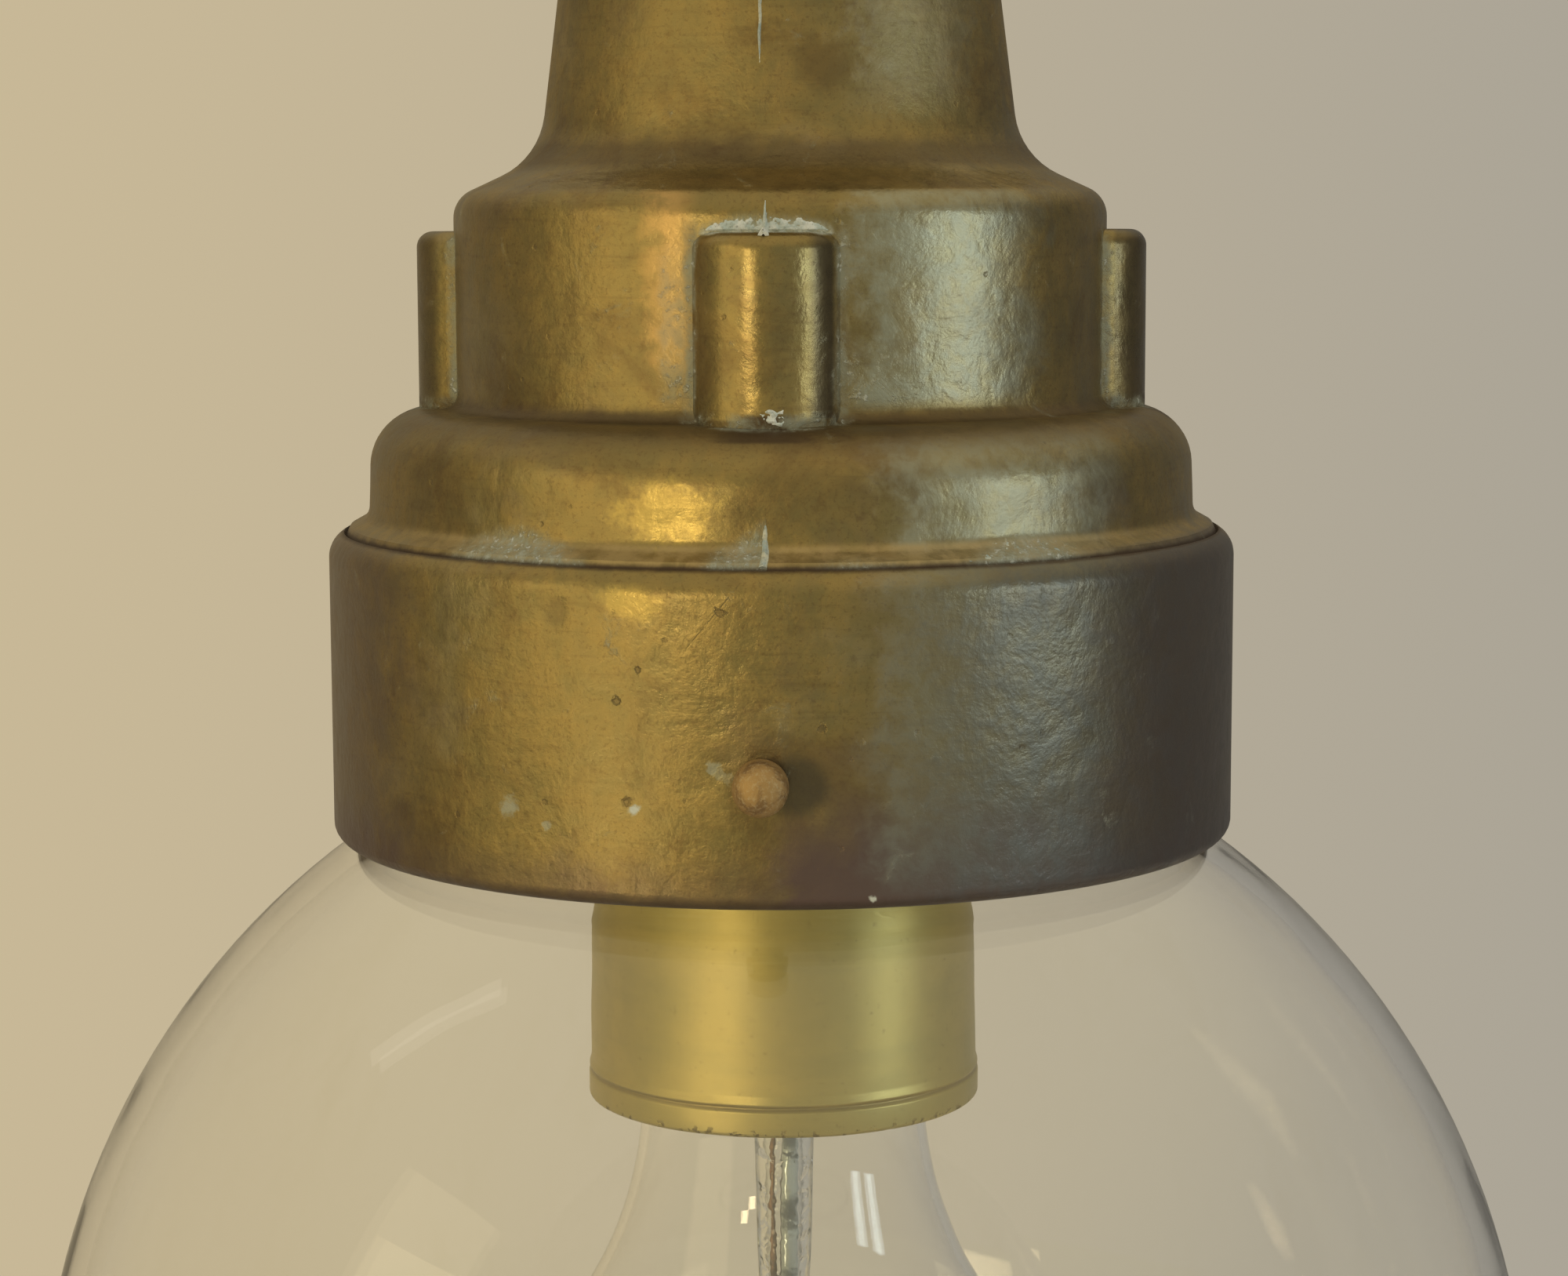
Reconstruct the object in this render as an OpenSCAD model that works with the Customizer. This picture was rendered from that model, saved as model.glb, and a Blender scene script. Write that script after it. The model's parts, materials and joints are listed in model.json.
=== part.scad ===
// Nautical wall light: a stepped cast-brass bell on a cast elbow arm, with a clear glass globe.
// The wall is the plane y = 0, the light stands out along -Y, and the origin is the centre of
// the wall flange. Heights in the bell are measured up from the collar's lower edge.

/* [Wall flange] */
// Diameter of the wall flange
flange_d = 120; // [112:1:150]
// Thickness of the flange's outer rim
flange_rim_h = 8; // [6:0.5:12]
// Diameter of the raised step on the flange
flange_step_d = 92; // [88:1:96]
// Height of the raised step above the rim
flange_step_h = 13; // [12:0.5:18]
// Wall of the flange round the wiring space
wiring_wall = 5; // [4:0.5:8]
// Depth of the wiring space
wiring_h = 15.5; // [14.5:0.5:17]
// Diameter of the holes for the wall screws
wall_hole_d = 6; // [4:0.5:7]
// Diameter of the circle of wall screws
wall_hole_pcd = 106; // [104:1:106]
// Number of wall screws
wall_hole_count = 4; // [3:1:6]
// Thickness of the gasket between flange and wall
gasket_h = 1.5; // [1:0.5:4]

/* [Arm] */
// Distance from the wall to the lamp's axis
reach = 110; // [105:1:160]
// Outside diameter of the arm
arm_d = 45; // [42:0.5:48]
// Wall of the arm
arm_wall = 5.5; // [4:0.5:8]
// How far the arm's foot stands out round it, on the flange
foot_proud = 8; // [5:0.5:12]
// Height of the arm's foot
foot_h = 4; // [3:0.5:6]
// Bend radius of the arm's centreline
elbow_r = 42; // [34:1:50]
// Height of the bead where the arm meets the bell
bead_h = 5; // [3:0.5:10]
// Straight length of the arm between the bead and the bend
arm_straight_h = 11; // [6:0.5:30]
// How far the bead stands proud of the arm
bead_proud = 2.1; // [1:0.1:4]
// Diameter of the threaded spigot that holds the bell
spigot_d = 30; // [24:1:32]
// Length of the spigot
spigot_h = 13; // [9:0.5:14]
// Diameter of the hole down the spigot
spigot_bore_d = 21; // [16:1:22]

/* [Bell] */
// Outside diameter of the collar round the globe's neck
collar_d = 96; // [94:0.5:110]
// Wall of the collar
collar_wall = 2.7; // [2:0.1:3.5]
// Height of the collar
collar_h = 31.4; // [30:0.2:40]
// Diameter of the second tier at its foot
tier_d = 87.4; // [84:0.2:90]
// Height of the second tier
tier_h = 13.5; // [12:0.1:18]
// Diameter of the drum above the tiers
drum_d = 68.8; // [66:0.2:74]
// Height of the drum
drum_h = 22.1; // [18:0.1:30]
// Wall of the bell's tiers
bell_wall = 4; // [3:0.1:5]
// Diameter of the neck where it leaves the drum
neck_d = 49.6; // [46:0.2:54]
// Height of the neck above the drum
neck_h = 27; // [24:0.5:40]
// Wall of the neck
neck_wall = 5; // [3.5:0.1:7]
// Diameter of the four bosses on the drum
boss_d = 15.2; // [12:0.1:18]
// How far each boss stands out of the drum
boss_proud = 4.2; // [3:0.1:6]
// How far the bosses stop below the drum's top
boss_below_top = 3.4; // [2:0.1:8]

/* [Set screws] */
// Height of the set screws above the collar's edge
set_screw_z = 12.3; // [9:0.1:14]
// Thread diameter of a set screw
set_screw_d = 4; // [3:0.5:5]
// Diameter of a set screw's head
set_screw_head_d = 5.3; // [4.5:0.1:8]
// Length of a set screw's head
set_screw_head_h = 3.8; // [3:0.1:8]
// Bare thread between collar and head
set_screw_gap = 1.2; // [0.6:0.1:3]

/* [Globe] */
// Outside diameter of the globe
globe_d = 161; // [150:1:172]
// Thickness of the globe's glass
glass_wall = 2.6; // [2:0.1:4]
// Clearance between the globe's lip and the collar
lip_gap = 0.5; // [0.3:0.1:1]
// How far the lip stands out of the neck
lip_proud = 1.5; // [1:0.1:1.6]
// Height of the lip
lip_h = 4; // [3:0.5:6]

/* [Lamp holder] */
// Diameter of the satin cup at its top
cup_top_d = 39.8; // [39.4:0.1:42]
// Diameter of the satin cup above its rim
cup_d = 41.8; // [41.4:0.1:44]
// Height of the satin cup
cup_h = 52.2; // [50:0.2:56]
// How far the cup hangs below the collar
cup_below = 29.4; // [26:0.1:30]
// Wall of the satin cup
cup_wall = 0.8; // [0.6:0.1:1.2]
// Height of the bead round the cup's rim
cup_rim_h = 2.8; // [2:0.1:5]
// Diameter of the porcelain holder
porcelain_d = 36.4; // [35:0.2:37]
// Diameter of the nipple that carries the holder
nipple_d = 10; // [9:0.5:12]
// Wall of the nipple
nipple_wall = 1.4; // [1:0.1:1.8]
// Thickness of the plate that carries the holder
plate_h = 2.5; // [1.5:0.1:3]
// Thread diameter of the plate's screws
plate_screw_d = 4; // [3:0.1:4.4]
// Diameter of the plate screws' heads
plate_screw_head_d = 8; // [7:0.1:9]

/* [Bulb] */
// Diameter of the bulb's glass
bulb_d = 60; // [55:1:64]
// Length of the bulb's glass below the cap
bulb_h = 79; // [74:0.5:90]
// Diameter of the bulb's glass at its narrow neck
bulb_neck_d = 30.4; // [28:0.2:32]
// Diameter of the bulb's screw cap
bulb_cap_d = 26.4; // [26.2:0.1:26.6]
// Thickness of the bulb's glass
bulb_wall = 0.9; // [0.6:0.1:1.2]

/* [Wiring] */
// Outside diameter of each insulated wire
wire_d = 2.2; // [1.6:0.1:2.4]
// Distance of each wire from the arm's middle plane
wire_x = 1.3; // [1.3:0.1:1.6]

/* [Hidden] */
$fn = 96;

// Colours of the finishes
patina = [0.45, 0.37, 0.16];
bright_brass = [0.80, 0.66, 0.33];
satin_brass = [0.70, 0.62, 0.33];
steel = [0.70, 0.71, 0.72];
china = [0.93, 0.92, 0.88];
rubber = [0.12, 0.12, 0.12];
clear_glass = [0.85, 0.90, 0.90, 0.35];
tungsten = [0.35, 0.35, 0.37];
live_colour = [0.42, 0.24, 0.12];
neutral_colour = [0.15, 0.30, 0.62];
black_glass = [0.08, 0.08, 0.10];

// Clearances
thread_gap = 0.06;    // between a screw and its hole, on the radius
seat_gap = 0.3;       // between pieces that only rest on each other
slip_gap = 0.1;       // between a tube and the hole it passes through, on the radius
overlap = 1;          // how far a cutter runs past the face it cuts

// Arm
arm_r = arm_d / 2;
arm_bore_r = arm_r - arm_wall;
arm_edge_r = 1.5;                             // rounding of the bead
spigot_r = spigot_d / 2;
flange_h = gasket_h + flange_rim_h;           // from the wall to the rim's front
step_top = flange_h + flange_step_h;          // from the wall to the step's front
wiring_d = flange_step_d - 2 * wiring_wall;
wiring_floor = gasket_h + wiring_h;           // from the wall to the floor of the wiring space
stub_end = reach - elbow_r;                   // from the wall to the start of the bend
foot_spigot_r = arm_r - 3;                    // the arm's end, which is brazed into the flange
foot_spigot_h = 3;
fixing_depth = 3.8;                           // depth of the blind holes in the flange's floor

// Heights in the bell
tier_top = collar_h + tier_h;
drum_top = tier_top + drum_h;
bell_h = drum_top + neck_h;
straight_h = bead_h + arm_straight_h;         // straight part of the arm above the bell
drop = bell_h + straight_h + elbow_r;         // from the arm's centreline to the collar's edge

// Radii in the bell
collar_r = collar_d / 2;
collar_in_r = collar_r - collar_wall;
tier_r = tier_d / 2;
tier_top_r = tier_r - 0.4;                    // the tier leans in a little for the mould
tier_in_r = tier_top_r - 0.8 * bell_wall;
drum_r = drum_d / 2;
drum_in_r = drum_r - bell_wall;
neck_r = neck_d / 2;
neck_top_r = neck_r - neck_h * 0.088;         // the neck tapers towards the arm
neck_in_r = (neck_r + neck_top_r) / 2 - neck_wall;
shoulder_h = 4.2;                             // rise of the sloping shoulder on the drum
step_rise = 2.6;                              // rise of the slope from the collar to the second tier
groove_w = 0.7;                               // fine groove cast round that slope, near its foot
groove_r = collar_r - 1.6;
seat_z = collar_h - 2.2;                      // underside of the second tier inside the bell
ledge_z = tier_top - 3.4;                     // underside of the drum's foot, which carries the plate
roof_z = drum_top - 3.6;                      // underside of the drum's shoulder
socket_z = bell_h - spigot_h - 1;             // foot of the threaded socket for the arm
boss_axis_r = drum_r + boss_proud - boss_d / 2;
boss_top = drum_top - boss_below_top;
boss_angles = [0, 90, 180, 270];
boss_hole_r = (drum_in_r + drum_r + boss_proud) / 2;   // where the plate's screws stand
boss_hole_top = boss_top - 6;
grub_z = bell_h - spigot_h / 2;
grub_r = 2;

// Set screws
set_angles = [-90, 30, 150];                  // front, right and left, seen from above
tip_r = collar_in_r - lip_gap - lip_proud + seat_gap;
set_hole_r = set_screw_d / 2 + thread_gap;

// Globe
lip_r = collar_in_r - lip_gap;
glass_neck_r = lip_r - lip_proud;
glass_neck_in_r = glass_neck_r - glass_wall;
lip_z = set_screw_z + set_screw_d / 2 + seat_gap;      // the lip hangs on the set screws
globe_r = globe_d / 2;
globe_open_r = collar_in_r - 0.9;             // radius of the ball where it leaves the collar
globe_z = -sqrt(globe_r * globe_r - globe_open_r * globe_open_r);

// Lamp holder
cup_bottom = -cup_below;
cup_top = cup_bottom + cup_h;
cup_r = cup_d / 2;
cup_top_r = cup_top_d / 2;
cup_rim_r = cup_r + 0.2;
nipple_r = nipple_d / 2;
nipple_bore_r = nipple_r - nipple_wall;
nut_flat = nipple_d + 4;                      // width of the nuts across their flats
nut_h = 3.5;
bridge_h = 1.8;
bridge_top = cup_top - cup_wall;
porcelain_r = porcelain_d / 2;
porcelain_top = bridge_top - bridge_h;
porcelain_bottom = cup_bottom + 3.9;
chamber_h = 9;                                // depth of the porcelain's terminal chamber
chamber_floor = porcelain_top - chamber_h;
chamber_r = porcelain_r - 3.2;
shell_wall = 0.55;
shell_in_r = bulb_cap_d / 2 + 0.35;
shell_r = shell_in_r + shell_wall;
shell_bore_r = shell_r + seat_gap;            // bore in the porcelain round the shell
shell_top = chamber_floor - 3.6;              // underside of the porcelain's floor
shell_bottom = porcelain_bottom + 5.5;
shell_ring_w = 4;                             // width of the ring that closes the shell's top
shell_hole_r = shell_r - shell_ring_w;        // hole in that ring, round the centre contact
tongue_z = shell_top - 5.5;                   // underside of the centre contact's tongue
shell_rivet_x = (shell_r + shell_hole_r) / 2;
contact_x = 5.5;                              // rivet of the centre contact
rivet_r = 1.2;
terminal_size = [5, 6, 4.5];
terminal_x = 9.2;
terminal_screw_r = 1.4;
nipple_bottom = porcelain_top - 2.6;
nipple_top = ledge_z + nut_h + 1.5;
plate_r = tier_in_r - 0.5;
plate_bottom = ledge_z - plate_h;
plate_screw_head_h = 3;
plate_screw_reach = 11;                       // thread of the plate's screws above the plate
bridge_screw_x = porcelain_r - 3.4;           // the bridge's two screws lie on the Y axis
bridge_screw_r = 1.25;
bridge_screw_h = 6;                           // thread of those screws in the porcelain
bridge_w = 15;                                // width of the bridge

// Bulb
cap_r = bulb_cap_d / 2;
cap_wall = 0.4;
cap_h = 22;
pip_h = 1.2;                                  // height of the bulb's contact
insulator_h = 2.6;
cap_top = tongue_z - seat_gap - pip_h - insulator_h;
cap_bottom = cap_top - cap_h;
bulb_r = bulb_d / 2;
bulb_neck_r = bulb_neck_d / 2;
bulb_bottom = cap_bottom - bulb_h;
bulb_ball_z = bulb_bottom + bulb_r;
waist_z = cap_bottom - 4;                     // where the narrow neck starts to widen
waist_rise = waist_z - bulb_ball_z;
waist_arc_r = (pow(bulb_neck_r, 2) + pow(waist_rise, 2) - pow(bulb_r, 2)) / 2 / (bulb_r - bulb_neck_r);
waist_turn = atan2(waist_rise, bulb_neck_r + waist_arc_r);   // where that arc runs into the ball
bulb_mouth_r = cap_r - cap_wall - 0.15;       // radius of the glass inside the cap
stem_r = 3.4;
stem_tip_r = 2.7;
stem_wall = 1;
stem_h = 29;                                  // how far the stem hangs below the cap
stem_bottom = cap_bottom - stem_h;
flare_r = bulb_mouth_r - bulb_wall - 0.3;
press_h = 9;
lead_r = 0.4;
lead_x = 2.2;
lead_top = stem_bottom - press_h;
filament_z = bulb_ball_z - 1;                 // height of the filament
filament_r = 13;                              // radius of the filament's arc
filament_rod_r = 0.35;
arbor_r = 1.1;

// Wiring
wire_r = wire_d / 2;
block_size = [24, 11, 17];                    // the terminal block: width, depth and height
block_top = -15;                              // the block's top edge, below the arm's centreline
block_gap = seat_gap;
block_front = wiring_floor - block_gap;       // from the wall to the face that lies on the floor
pole_x = 6;
pole_depth = block_front - block_size.y / 2;
insert_r = 2.6;
insert_bore_r = 1.5;
core_r = 1.1;
wire_bend = 5;
earth_x = -24;
earth_z = 14;

// Helpers

function unit(v) = v / norm(v);

// Points of an arc that rounds the corner b between a and c; the radius is limited by the edges
function corner_arc(a, b, c, radius, step = 7.5, share = 0.49) =
    radius <= 0 ? [b] :
    let (
        u = unit(a - b),
        w = unit(c - b),
        half = acos(u * w) / 2,
        fit = min(radius, share * min(norm(a - b), norm(c - b)) * tan(half)),
        centre = b + unit(u + w) * fit / sin(half),
        p = b + u * fit / tan(half) - centre,
        q = b + w * fit / tan(half) - centre,
        start = atan2(p.y, p.x),
        turn = atan2(q.y, q.x) - start,
        sweep = turn > 180 ? turn - 360 : turn < -180 ? turn + 360 : turn,
        count = ceil(abs(sweep) / step)
    )
    [for (i = [0:count]) centre + fit * [cos(start + sweep * i / count), sin(start + sweep * i / count)]];

// An outline from corners [radius from the axis, height, rounding]. A fourth number is the share
// of the shorter edge beside it that the rounding may take, which is else just under half.
function rounded(corners) =
    let (n = len(corners))
    [for (i = [0:n - 1])
        let (a = corners[(i + n - 1) % n], b = corners[i], c = corners[(i + 1) % n])
        each corner_arc([a.x, a.y], [b.x, b.y], [c.x, c.y], b.z, 7.5,
                        is_undef(b[3]) ? 0.49 : b[3])];

// Points of an arc about [0, z], from angle a to angle b
function ball_point(radius, z, t) = [radius * cos(t), z + radius * sin(t)];
function ball_arc(radius, z, a, b, step = 3) =
    let (count = ceil(abs(b - a) / step))
    [for (i = [0:count]) ball_point(radius, z, a + (b - a) * i / count)];

module turned(corners) {
    rotate_extrude() polygon(rounded(corners));
}

// A straight rod between two points
module rod(p, q, r, sides = 32) {
    v = q - p;
    translate(p)
        rotate([0, acos(v.z / norm(v)), atan2(v.y, v.x)])
            cylinder(r = r, h = norm(v), $fn = sides);
}

// Puts its children in the bell's frame, with z = 0 at the collar's lower edge
module at_lamp() {
    translate([0, -reach, -drop]) children();
}

// Turns local +Z out of the wall: local z is the distance from the wall, local y is up
module from_wall() {
    rotate([90, 0, 0]) children();
}

// Turns local +X into the arm's plane, for the bend and what follows it
module at_elbow() {
    translate([0, -stub_end, -elbow_r])
        rotate([90, 0, 90]) rotate([0, 0, 90]) children();
}

// A cheese-headed screw along +Z, its head below z = 0
module cheese_screw(d, length, head_d, head_h, slot = 1) {
    difference() {
        union() {
            cylinder(d = d, h = length, $fn = 48);
            translate([0, 0, -head_h]) cylinder(d = head_d, h = head_h, $fn = 48);
        }
        translate([-head_d, -slot / 2, -head_h - overlap]) cube([2 * head_d, slot, overlap + head_h * 0.4]);
    }
}

module hex_nut(flat, bore_r, h) {
    difference() {
        cylinder(d = flat / cos(30), h = h, $fn = 6);
        translate([0, 0, -overlap]) cylinder(r = bore_r, h = h + 2 * overlap);
    }
}

module wall_holes(depth_from, depth_to, r) {
    for (i = [0:wall_hole_count - 1])
        rotate([0, 0, 45 + 360 * i / wall_hole_count])
            translate([wall_hole_pcd / 2, 0, depth_from]) cylinder(r = r, h = depth_to - depth_from);
}

// Arm and wall flange

module arm_outside() {
    from_wall() {
        turned([[0, step_top - foot_spigot_h, 0], [foot_spigot_r, step_top - foot_spigot_h, 0.5],
                [foot_spigot_r, step_top, 0], [arm_r + foot_proud, step_top, 0.5],
                [arm_r + foot_proud, step_top + foot_h, 1.8], [arm_r, step_top + foot_h + 0.8, 6],
                [arm_r, stub_end - 6, 0], [arm_r, stub_end, 0], [0, stub_end, 0]]);
    }
    at_elbow() rotate_extrude(angle = 90) translate([elbow_r, 0]) circle(r = arm_r);
    at_lamp() {
        translate([0, 0, bell_h])
            turned([[0, 0, 0], [arm_r + bead_proud, 0, arm_edge_r / 2],
                    [arm_r + bead_proud, bead_h, arm_edge_r], [arm_r, bead_h + 0.4, 0.5],
                    [arm_r, straight_h, 0], [0, straight_h, 0]]);
        translate([0, 0, bell_h - spigot_h]) cylinder(r = spigot_r - thread_gap, h = spigot_h + overlap);
    }
}

module arm_hollow() {
    from_wall() translate([0, 0, wiring_floor - overlap])
        cylinder(r = arm_bore_r, h = stub_end - wiring_floor + overlap);
    at_elbow() rotate_extrude(angle = 90) translate([elbow_r, 0]) circle(r = arm_bore_r);
    at_lamp() {
        translate([0, 0, bell_h + 1]) cylinder(r = arm_bore_r, h = straight_h - 1);
        translate([0, 0, bell_h - spigot_h - overlap]) cylinder(d = spigot_bore_d, h = spigot_h + 3);
    }
}

module arm_casting() {
    color(patina) difference() {
        arm_outside();
        arm_hollow();
    }
}

module wall_flange() {
    color(patina) from_wall() difference() {
        turned([[0, gasket_h, 0], [flange_d / 2, gasket_h, 0.6], [flange_d / 2, flange_h, 3],
                [flange_step_d / 2, flange_h + 0.8, 1.6], [flange_step_d / 2 - 0.5, step_top, 3.4],
                [0, step_top, 0]]);
        cylinder(d = wiring_d, h = wiring_floor);
        cylinder(r = foot_spigot_r + thread_gap, h = step_top + overlap);
        wall_holes(0, flange_h + overlap, wall_hole_d / 2);
        translate([0, block_top - block_size.z / 2, wiring_floor - overlap])
            cylinder(r = grub_r * 0.75 + thread_gap, h = fixing_depth + overlap, $fn = 48);
        translate([earth_x, earth_z, wiring_floor - overlap])
            cylinder(r = grub_r + thread_gap, h = fixing_depth + overlap, $fn = 48);
    }
}

module wall_gasket() {
    color(rubber) from_wall() difference() {
        cylinder(d = flange_d - 2, h = gasket_h);
        translate([0, 0, -overlap]) cylinder(d = wiring_d + 4, h = gasket_h + 2 * overlap);
        wall_holes(-overlap, gasket_h + overlap, wall_hole_d / 2);
    }
}

// Bell

// Height of the slope between the collar and the second tier, at a radius
function slope_z(r) = collar_h + step_rise * (collar_r - r) / (collar_r - tier_r);

module bell_outside() {
    turned([[0, 0, 0], [collar_r, 0, 1.6], [collar_r, collar_h, 3.4, 0.95],
            [groove_r, slope_z(groove_r) - 0.1, 0], [groove_r - 0.25, slope_z(groove_r) - 0.4, 0],
            [groove_r - groove_w, slope_z(groove_r - groove_w) + 0.1, 0], [tier_r, collar_h + step_rise, 1.6],
            [tier_top_r, tier_top, 6, 0.7], [drum_r, tier_top + 0.3, 1.6], [drum_r, drum_top, 3.2],
            [neck_r + 0.5, drum_top + shoulder_h, 8], [neck_top_r, bell_h, 0.8], [0, bell_h, 0]]);
    for (a = boss_angles)
        rotate([0, 0, a]) translate([boss_axis_r, 0, tier_top - 3])
            turned([[0, 0, 0], [boss_d / 2, 0, 0], [boss_d / 2, boss_top - tier_top + 3, 1.7],
                    [0, boss_top - tier_top + 3, 0]]);
}

module bell_hollow() {
    turned([[0, -overlap, 0], [collar_in_r, -overlap, 0], [collar_in_r, seat_z, 0.8],
            [tier_in_r, seat_z, 0], [tier_in_r, ledge_z, 0.3], [drum_in_r, ledge_z, 0],
            [drum_in_r, roof_z, 3], [neck_in_r, roof_z + shoulder_h, 3], [neck_in_r, socket_z, 0],
            [spigot_r, socket_z, 0], [spigot_r, bell_h + overlap, 0], [0, bell_h + overlap, 0]]);
}

module bell_casting() {
    color(patina) at_lamp() difference() {
        bell_outside();
        bell_hollow();
        for (a = boss_angles)
            rotate([0, 0, a]) translate([boss_hole_r, 0, ledge_z - overlap])
                cylinder(r = plate_screw_d / 2 + thread_gap, h = boss_hole_top - ledge_z + overlap, $fn = 48);
        for (a = set_angles)
            rotate([0, 0, a]) translate([collar_in_r - 3, 0, set_screw_z])
                rotate([0, 90, 0]) cylinder(r = set_hole_r, h = collar_wall + 3 + overlap, $fn = 48);
        rotate([0, 0, 90]) translate([spigot_r - 2, 0, grub_z])
            rotate([0, 90, 0]) cylinder(r = grub_r + thread_gap, h = neck_r, $fn = 48);
    }
}

module neck_grub_screw() {
    grub_h = neck_top_r - spigot_r - 1;
    color(steel) at_lamp() rotate([0, 0, 90]) translate([spigot_r + slip_gap, 0, grub_z])
        rotate([0, 90, 0]) difference() {
            cylinder(r = grub_r, h = grub_h, $fn = 48);
            translate([-grub_r - overlap, -0.35, grub_h - 1]) cube([2 * (grub_r + overlap), 0.7, 2]);
        }
}

// Set screws: each one is turned by its round head

module set_screw(angle) {
    head_from = collar_r + set_screw_gap;
    color(bright_brass) at_lamp() rotate([0, 0, angle]) translate([0, 0, set_screw_z])
        rotate([0, 90, 0]) {
            turned([[0, tip_r, 0], [set_screw_d / 2 - 0.6, tip_r, 0], [set_screw_d / 2, tip_r + 0.6, 0],
                    [set_screw_d / 2, head_from, 0],
                    [set_screw_head_d / 2, head_from, 0.3],
                    [set_screw_head_d / 2, head_from + set_screw_head_h, 0.9],
                    [0, head_from + set_screw_head_h, 0]]);
        }
}

// Globe

module glass_globe() {
    in_r = globe_r - glass_wall;
    out_angle = acos((glass_neck_r + 1.8) / globe_r);
    in_angle = acos((glass_neck_in_r + 1.2) / in_r);
    color(clear_glass) at_lamp() rotate_extrude() polygon(concat(
        ball_arc(globe_r, globe_z, -90, out_angle),
        corner_arc(ball_point(globe_r, globe_z, out_angle), [glass_neck_r, 1.2],
                   [glass_neck_r, lip_z], 2),
        corner_arc([glass_neck_r, 4], [glass_neck_r, lip_z], [lip_r, lip_z], 0.4),
        corner_arc([glass_neck_r, lip_z], [lip_r, lip_z], [lip_r, lip_z + lip_h], 1),
        corner_arc([lip_r, lip_z], [lip_r, lip_z + lip_h], [glass_neck_in_r, lip_z + lip_h], 1.2),
        [[glass_neck_in_r, lip_z + lip_h]],
        corner_arc([glass_neck_in_r, lip_z], [glass_neck_in_r, 0.4],
                   ball_point(in_r, globe_z, in_angle), 2),
        ball_arc(in_r, globe_z, in_angle, -90)
    ));
}

// Lamp holder

module holder_plate() {
    color(steel) at_lamp() translate([0, 0, plate_bottom]) difference() {
        cylinder(r = plate_r, h = plate_h);
        translate([0, 0, -overlap]) cylinder(r = nipple_r + slip_gap, h = plate_h + 2 * overlap);
        for (a = boss_angles)
            rotate([0, 0, a]) translate([boss_hole_r, 0, -overlap])
                cylinder(r = plate_screw_d / 2 + 0.5, h = plate_h + 2 * overlap, $fn = 48);
    }
}

module plate_screws() {
    color(bright_brass) at_lamp()
        for (a = boss_angles)
            rotate([0, 0, a]) translate([boss_hole_r, 0, plate_bottom])
                cheese_screw(plate_screw_d, plate_h + plate_screw_reach,
                             plate_screw_head_d, plate_screw_head_h);
}

module nipple() {
    color(bright_brass) at_lamp() translate([0, 0, nipple_bottom]) difference() {
        cylinder(r = nipple_r, h = nipple_top - nipple_bottom);
        translate([0, 0, -overlap])
            cylinder(r = nipple_bore_r, h = nipple_top - nipple_bottom + 2 * overlap);
    }
}

module plate_nuts() {
    color(bright_brass) at_lamp()
        for (z = [plate_bottom - nut_h, ledge_z])
            translate([0, 0, z]) hex_nut(nut_flat, nipple_r + thread_gap, nut_h);
}

module cup_nut() {
    color(bright_brass) at_lamp() translate([0, 0, cup_top])
        hex_nut(nut_flat, nipple_r + thread_gap, nut_h);
}

module socket_cup() {
    rim_top = cup_bottom + cup_rim_h;
    color(satin_brass) at_lamp() turned([
        [nipple_r + slip_gap, cup_top, 0], [cup_top_r, cup_top, 3], [cup_r, rim_top + 0.9, 0],
        [cup_rim_r, rim_top + 0.7, 0], [cup_rim_r, rim_top + 0.1, 0], [cup_r - 0.15, rim_top - 0.1, 0],
        [cup_rim_r, rim_top - 0.4, 0.2], [cup_rim_r, cup_bottom, 0.4],
        [cup_rim_r - cup_wall - 0.2, cup_bottom, 0.3], [cup_r - cup_wall, rim_top + 0.9, 0],
        [cup_top_r - cup_wall, bridge_top, 2.2], [nipple_r + slip_gap, bridge_top, 0]]);
}

module holder_bridge() {
    color(bright_brass) at_lamp() translate([0, 0, porcelain_top]) difference() {
        intersection() {
            cylinder(r = porcelain_r - 1.2, h = bridge_h);
            translate([-bridge_w / 2, -porcelain_r, -overlap])
                cube([bridge_w, 2 * porcelain_r, bridge_h + 2 * overlap]);
        }
        translate([0, 0, -overlap]) cylinder(r = nipple_r + thread_gap, h = bridge_h + 2 * overlap);
        for (s = [-1, 1])
            translate([0, s * bridge_screw_x, -overlap])
                cylinder(r = bridge_screw_r + slip_gap, h = bridge_h + 2 * overlap, $fn = 48);
    }
}

// Two headless screws go through the bridge and down into the porcelain
module bridge_screws() {
    color(steel) at_lamp()
        for (s = [-1, 1])
            translate([0, s * bridge_screw_x, porcelain_top - bridge_screw_h])
                cylinder(r = bridge_screw_r, h = bridge_screw_h + bridge_h, $fn = 48);
}

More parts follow.
